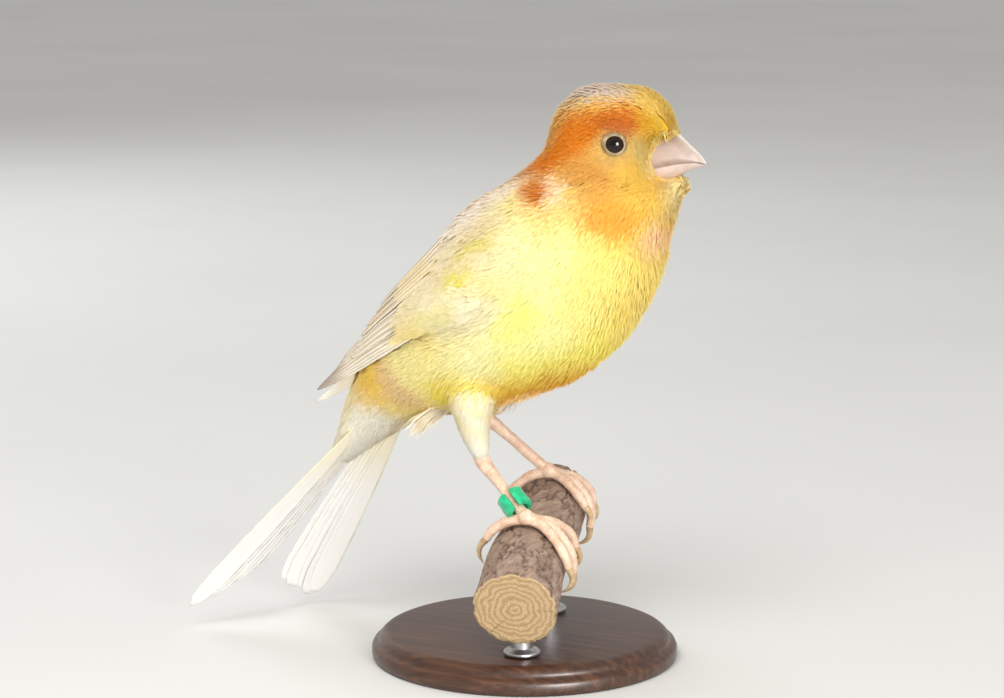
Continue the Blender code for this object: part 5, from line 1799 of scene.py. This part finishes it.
wingLocks = {
    # Soft feathers over the wing's stiff coverts: how far along the wing each row grows, the
    # length of its feathers in mm and how far it runs from the lower edge to the upper.
    "rows": (
        (0.23, 4.4, 0.88), (0.28, 4.6, 0.74), (0.33, 4.8, 0.6), (0.38, 5.2, 0.5), (0.42, 5.6, 0.44),
    ),
    "count": 54,
    "span": 66.0,  # the wing's length in mm
    "lift": 0.4,
    "rise": 0.35,
    "width": 1.5,
    "strands": 5,
}


def makeWingLocks(locks, rng):
    w = wingLocks
    for side in sides:
        for along, length, width in w["rows"]:
            t = np.linspace(0.03, width, w["count"]) + rng.normal(0, 0.01, w["count"])
            s = along + rng.normal(0, 0.02, w["count"])
            reach = length * rng.uniform(0.65, 1.25, w["count"])
            up, far = wingNormals(side, s, t), s + reach / w["span"]
            roots, tips = wingPoints(side, s, t) + up * w["lift"] * 0.5, wingPoints(side, far, t)
            tipUp = wingNormals(side, far, t)
            tips = tips + tipUp * (w["lift"] + w["rise"] * rng.uniform(0.6, 1.2, w["count"]))[:, None]
            colours = plumageColour(roots + (tips - roots) * coat["shownAt"])
            for row in zip(roots, tips, up, tipUp, colours):
                root, tip, rootUp, endUp = (Vector(value) for value in row[:4])
                index = skinTree.find_nearest(root)[2]
                place = skinMap[skinLoops[index]].mean(axis=0)
                side2 = rootUp.cross(tip - root).normalized() * w["width"]
                for turn in np.linspace(-0.5, 0.5, w["strands"]):
                    start = root + side2 * turn * 0.45
                    end = root.lerp(tip, 1 - 0.9 * turn**2 * 0.8) + side2 * (turn + rng.normal(0, 0.08)) * 0.8
                    wide = w["width"] * 0.4 * rng.uniform(0.85, 1.15)
                    way = (end - start).normalized()
                    locks.add(start, rootUp, way, end, endUp, wide, w["rise"], row[4], place, False)


def makePlumage():
    rng = np.random.default_rng(7)
    locks = makeCoat(rng)
    makeTufts(locks, rng)
    makeWingLocks(locks, rng)
    rows, heads = np.array(locks.rows, float), np.array(locks.heads, bool)
    print("locks", len(rows))
    for label, group in {"head": heads, "body": ~heads}.items():
        count = math.ceil(group.sum() / coat["perPiece"])
        for number, part in enumerate(np.array_split(rows[group], count), 1):
            lockPiece("coat_%s_%d" % (label, number), part, label + "_feathers", rng)


makePlumage()

print("floor and light")
studio = {
    "floor": 8.0,
    "sky": (1.0, 0.985, 0.96),
    "skyStrength": 0.55,
    # Each lamp: how far to the right, up and back towards the camera, size, power and colour.
    "lamps": (
        ("key", (-0.1, 0.38, 0.48), 0.35, 2.5, (1.0, 0.985, 0.95)),
        ("front", (0.22, -0.04, 0.6), 0.2, 2.5, (1.0, 0.985, 0.96)),
        ("catch", (0.3, 0.0, 0.6), 0.26, 7.0, (1.0, 1.0, 1.0)),
        ("rim", (-0.4, 0.5, -0.5), 0.5, 2.0, (0.96, 0.98, 1.0)),
    ),
}


def makeStudio(s):
    work = bmesh.new()
    bmesh.ops.create_grid(work, x_segments=2, y_segments=2, size=s["floor"])
    mesh = bpy.data.meshes.new("floor")
    work.to_mesh(mesh)
    work.free()
    floor = bpy.data.objects.new("floor", mesh)
    bpy.context.scene.collection.objects.link(floor)
    mesh.materials.append(floorMaterial())
    floor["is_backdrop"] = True
    bpy.context.scene.view_settings.view_transform = "Standard"
    world = bpy.data.worlds.new("studio")
    bpy.context.scene.world = world
    world.use_nodes = True
    sky = world.node_tree.nodes["Background"]
    sky.inputs["Color"].default_value = (*s["sky"], 1.0)
    sky.inputs["Strength"].default_value = s["skyStrength"]
    target = at((0, 0, 35))
    for name, (right, up, back), size, power, colour in s["lamps"]:
        light = bpy.data.lights.new(name, "AREA")
        light.size = size
        light.energy = power
        light.color = colour
        lamp = bpy.data.objects.new(name, light)
        lamp.location = target + cameraRight * right + cameraUp * up + cameraBack * back
        lamp.rotation_mode = "QUATERNION"
        lamp.rotation_quaternion = (target - lamp.location).to_track_quat("-Z", "Y")
        lamp.visible_glossy = name == "catch"  # one catch-light in each eye
        lamp.visible_diffuse = name != "catch"
        bpy.context.scene.collection.objects.link(lamp)


makeStudio(studio)

print("sizes")
boxes = {"cad": cadBox, "visual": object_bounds()}
{name: [list(corner) for corner in box] for name, box in boxes.items()}
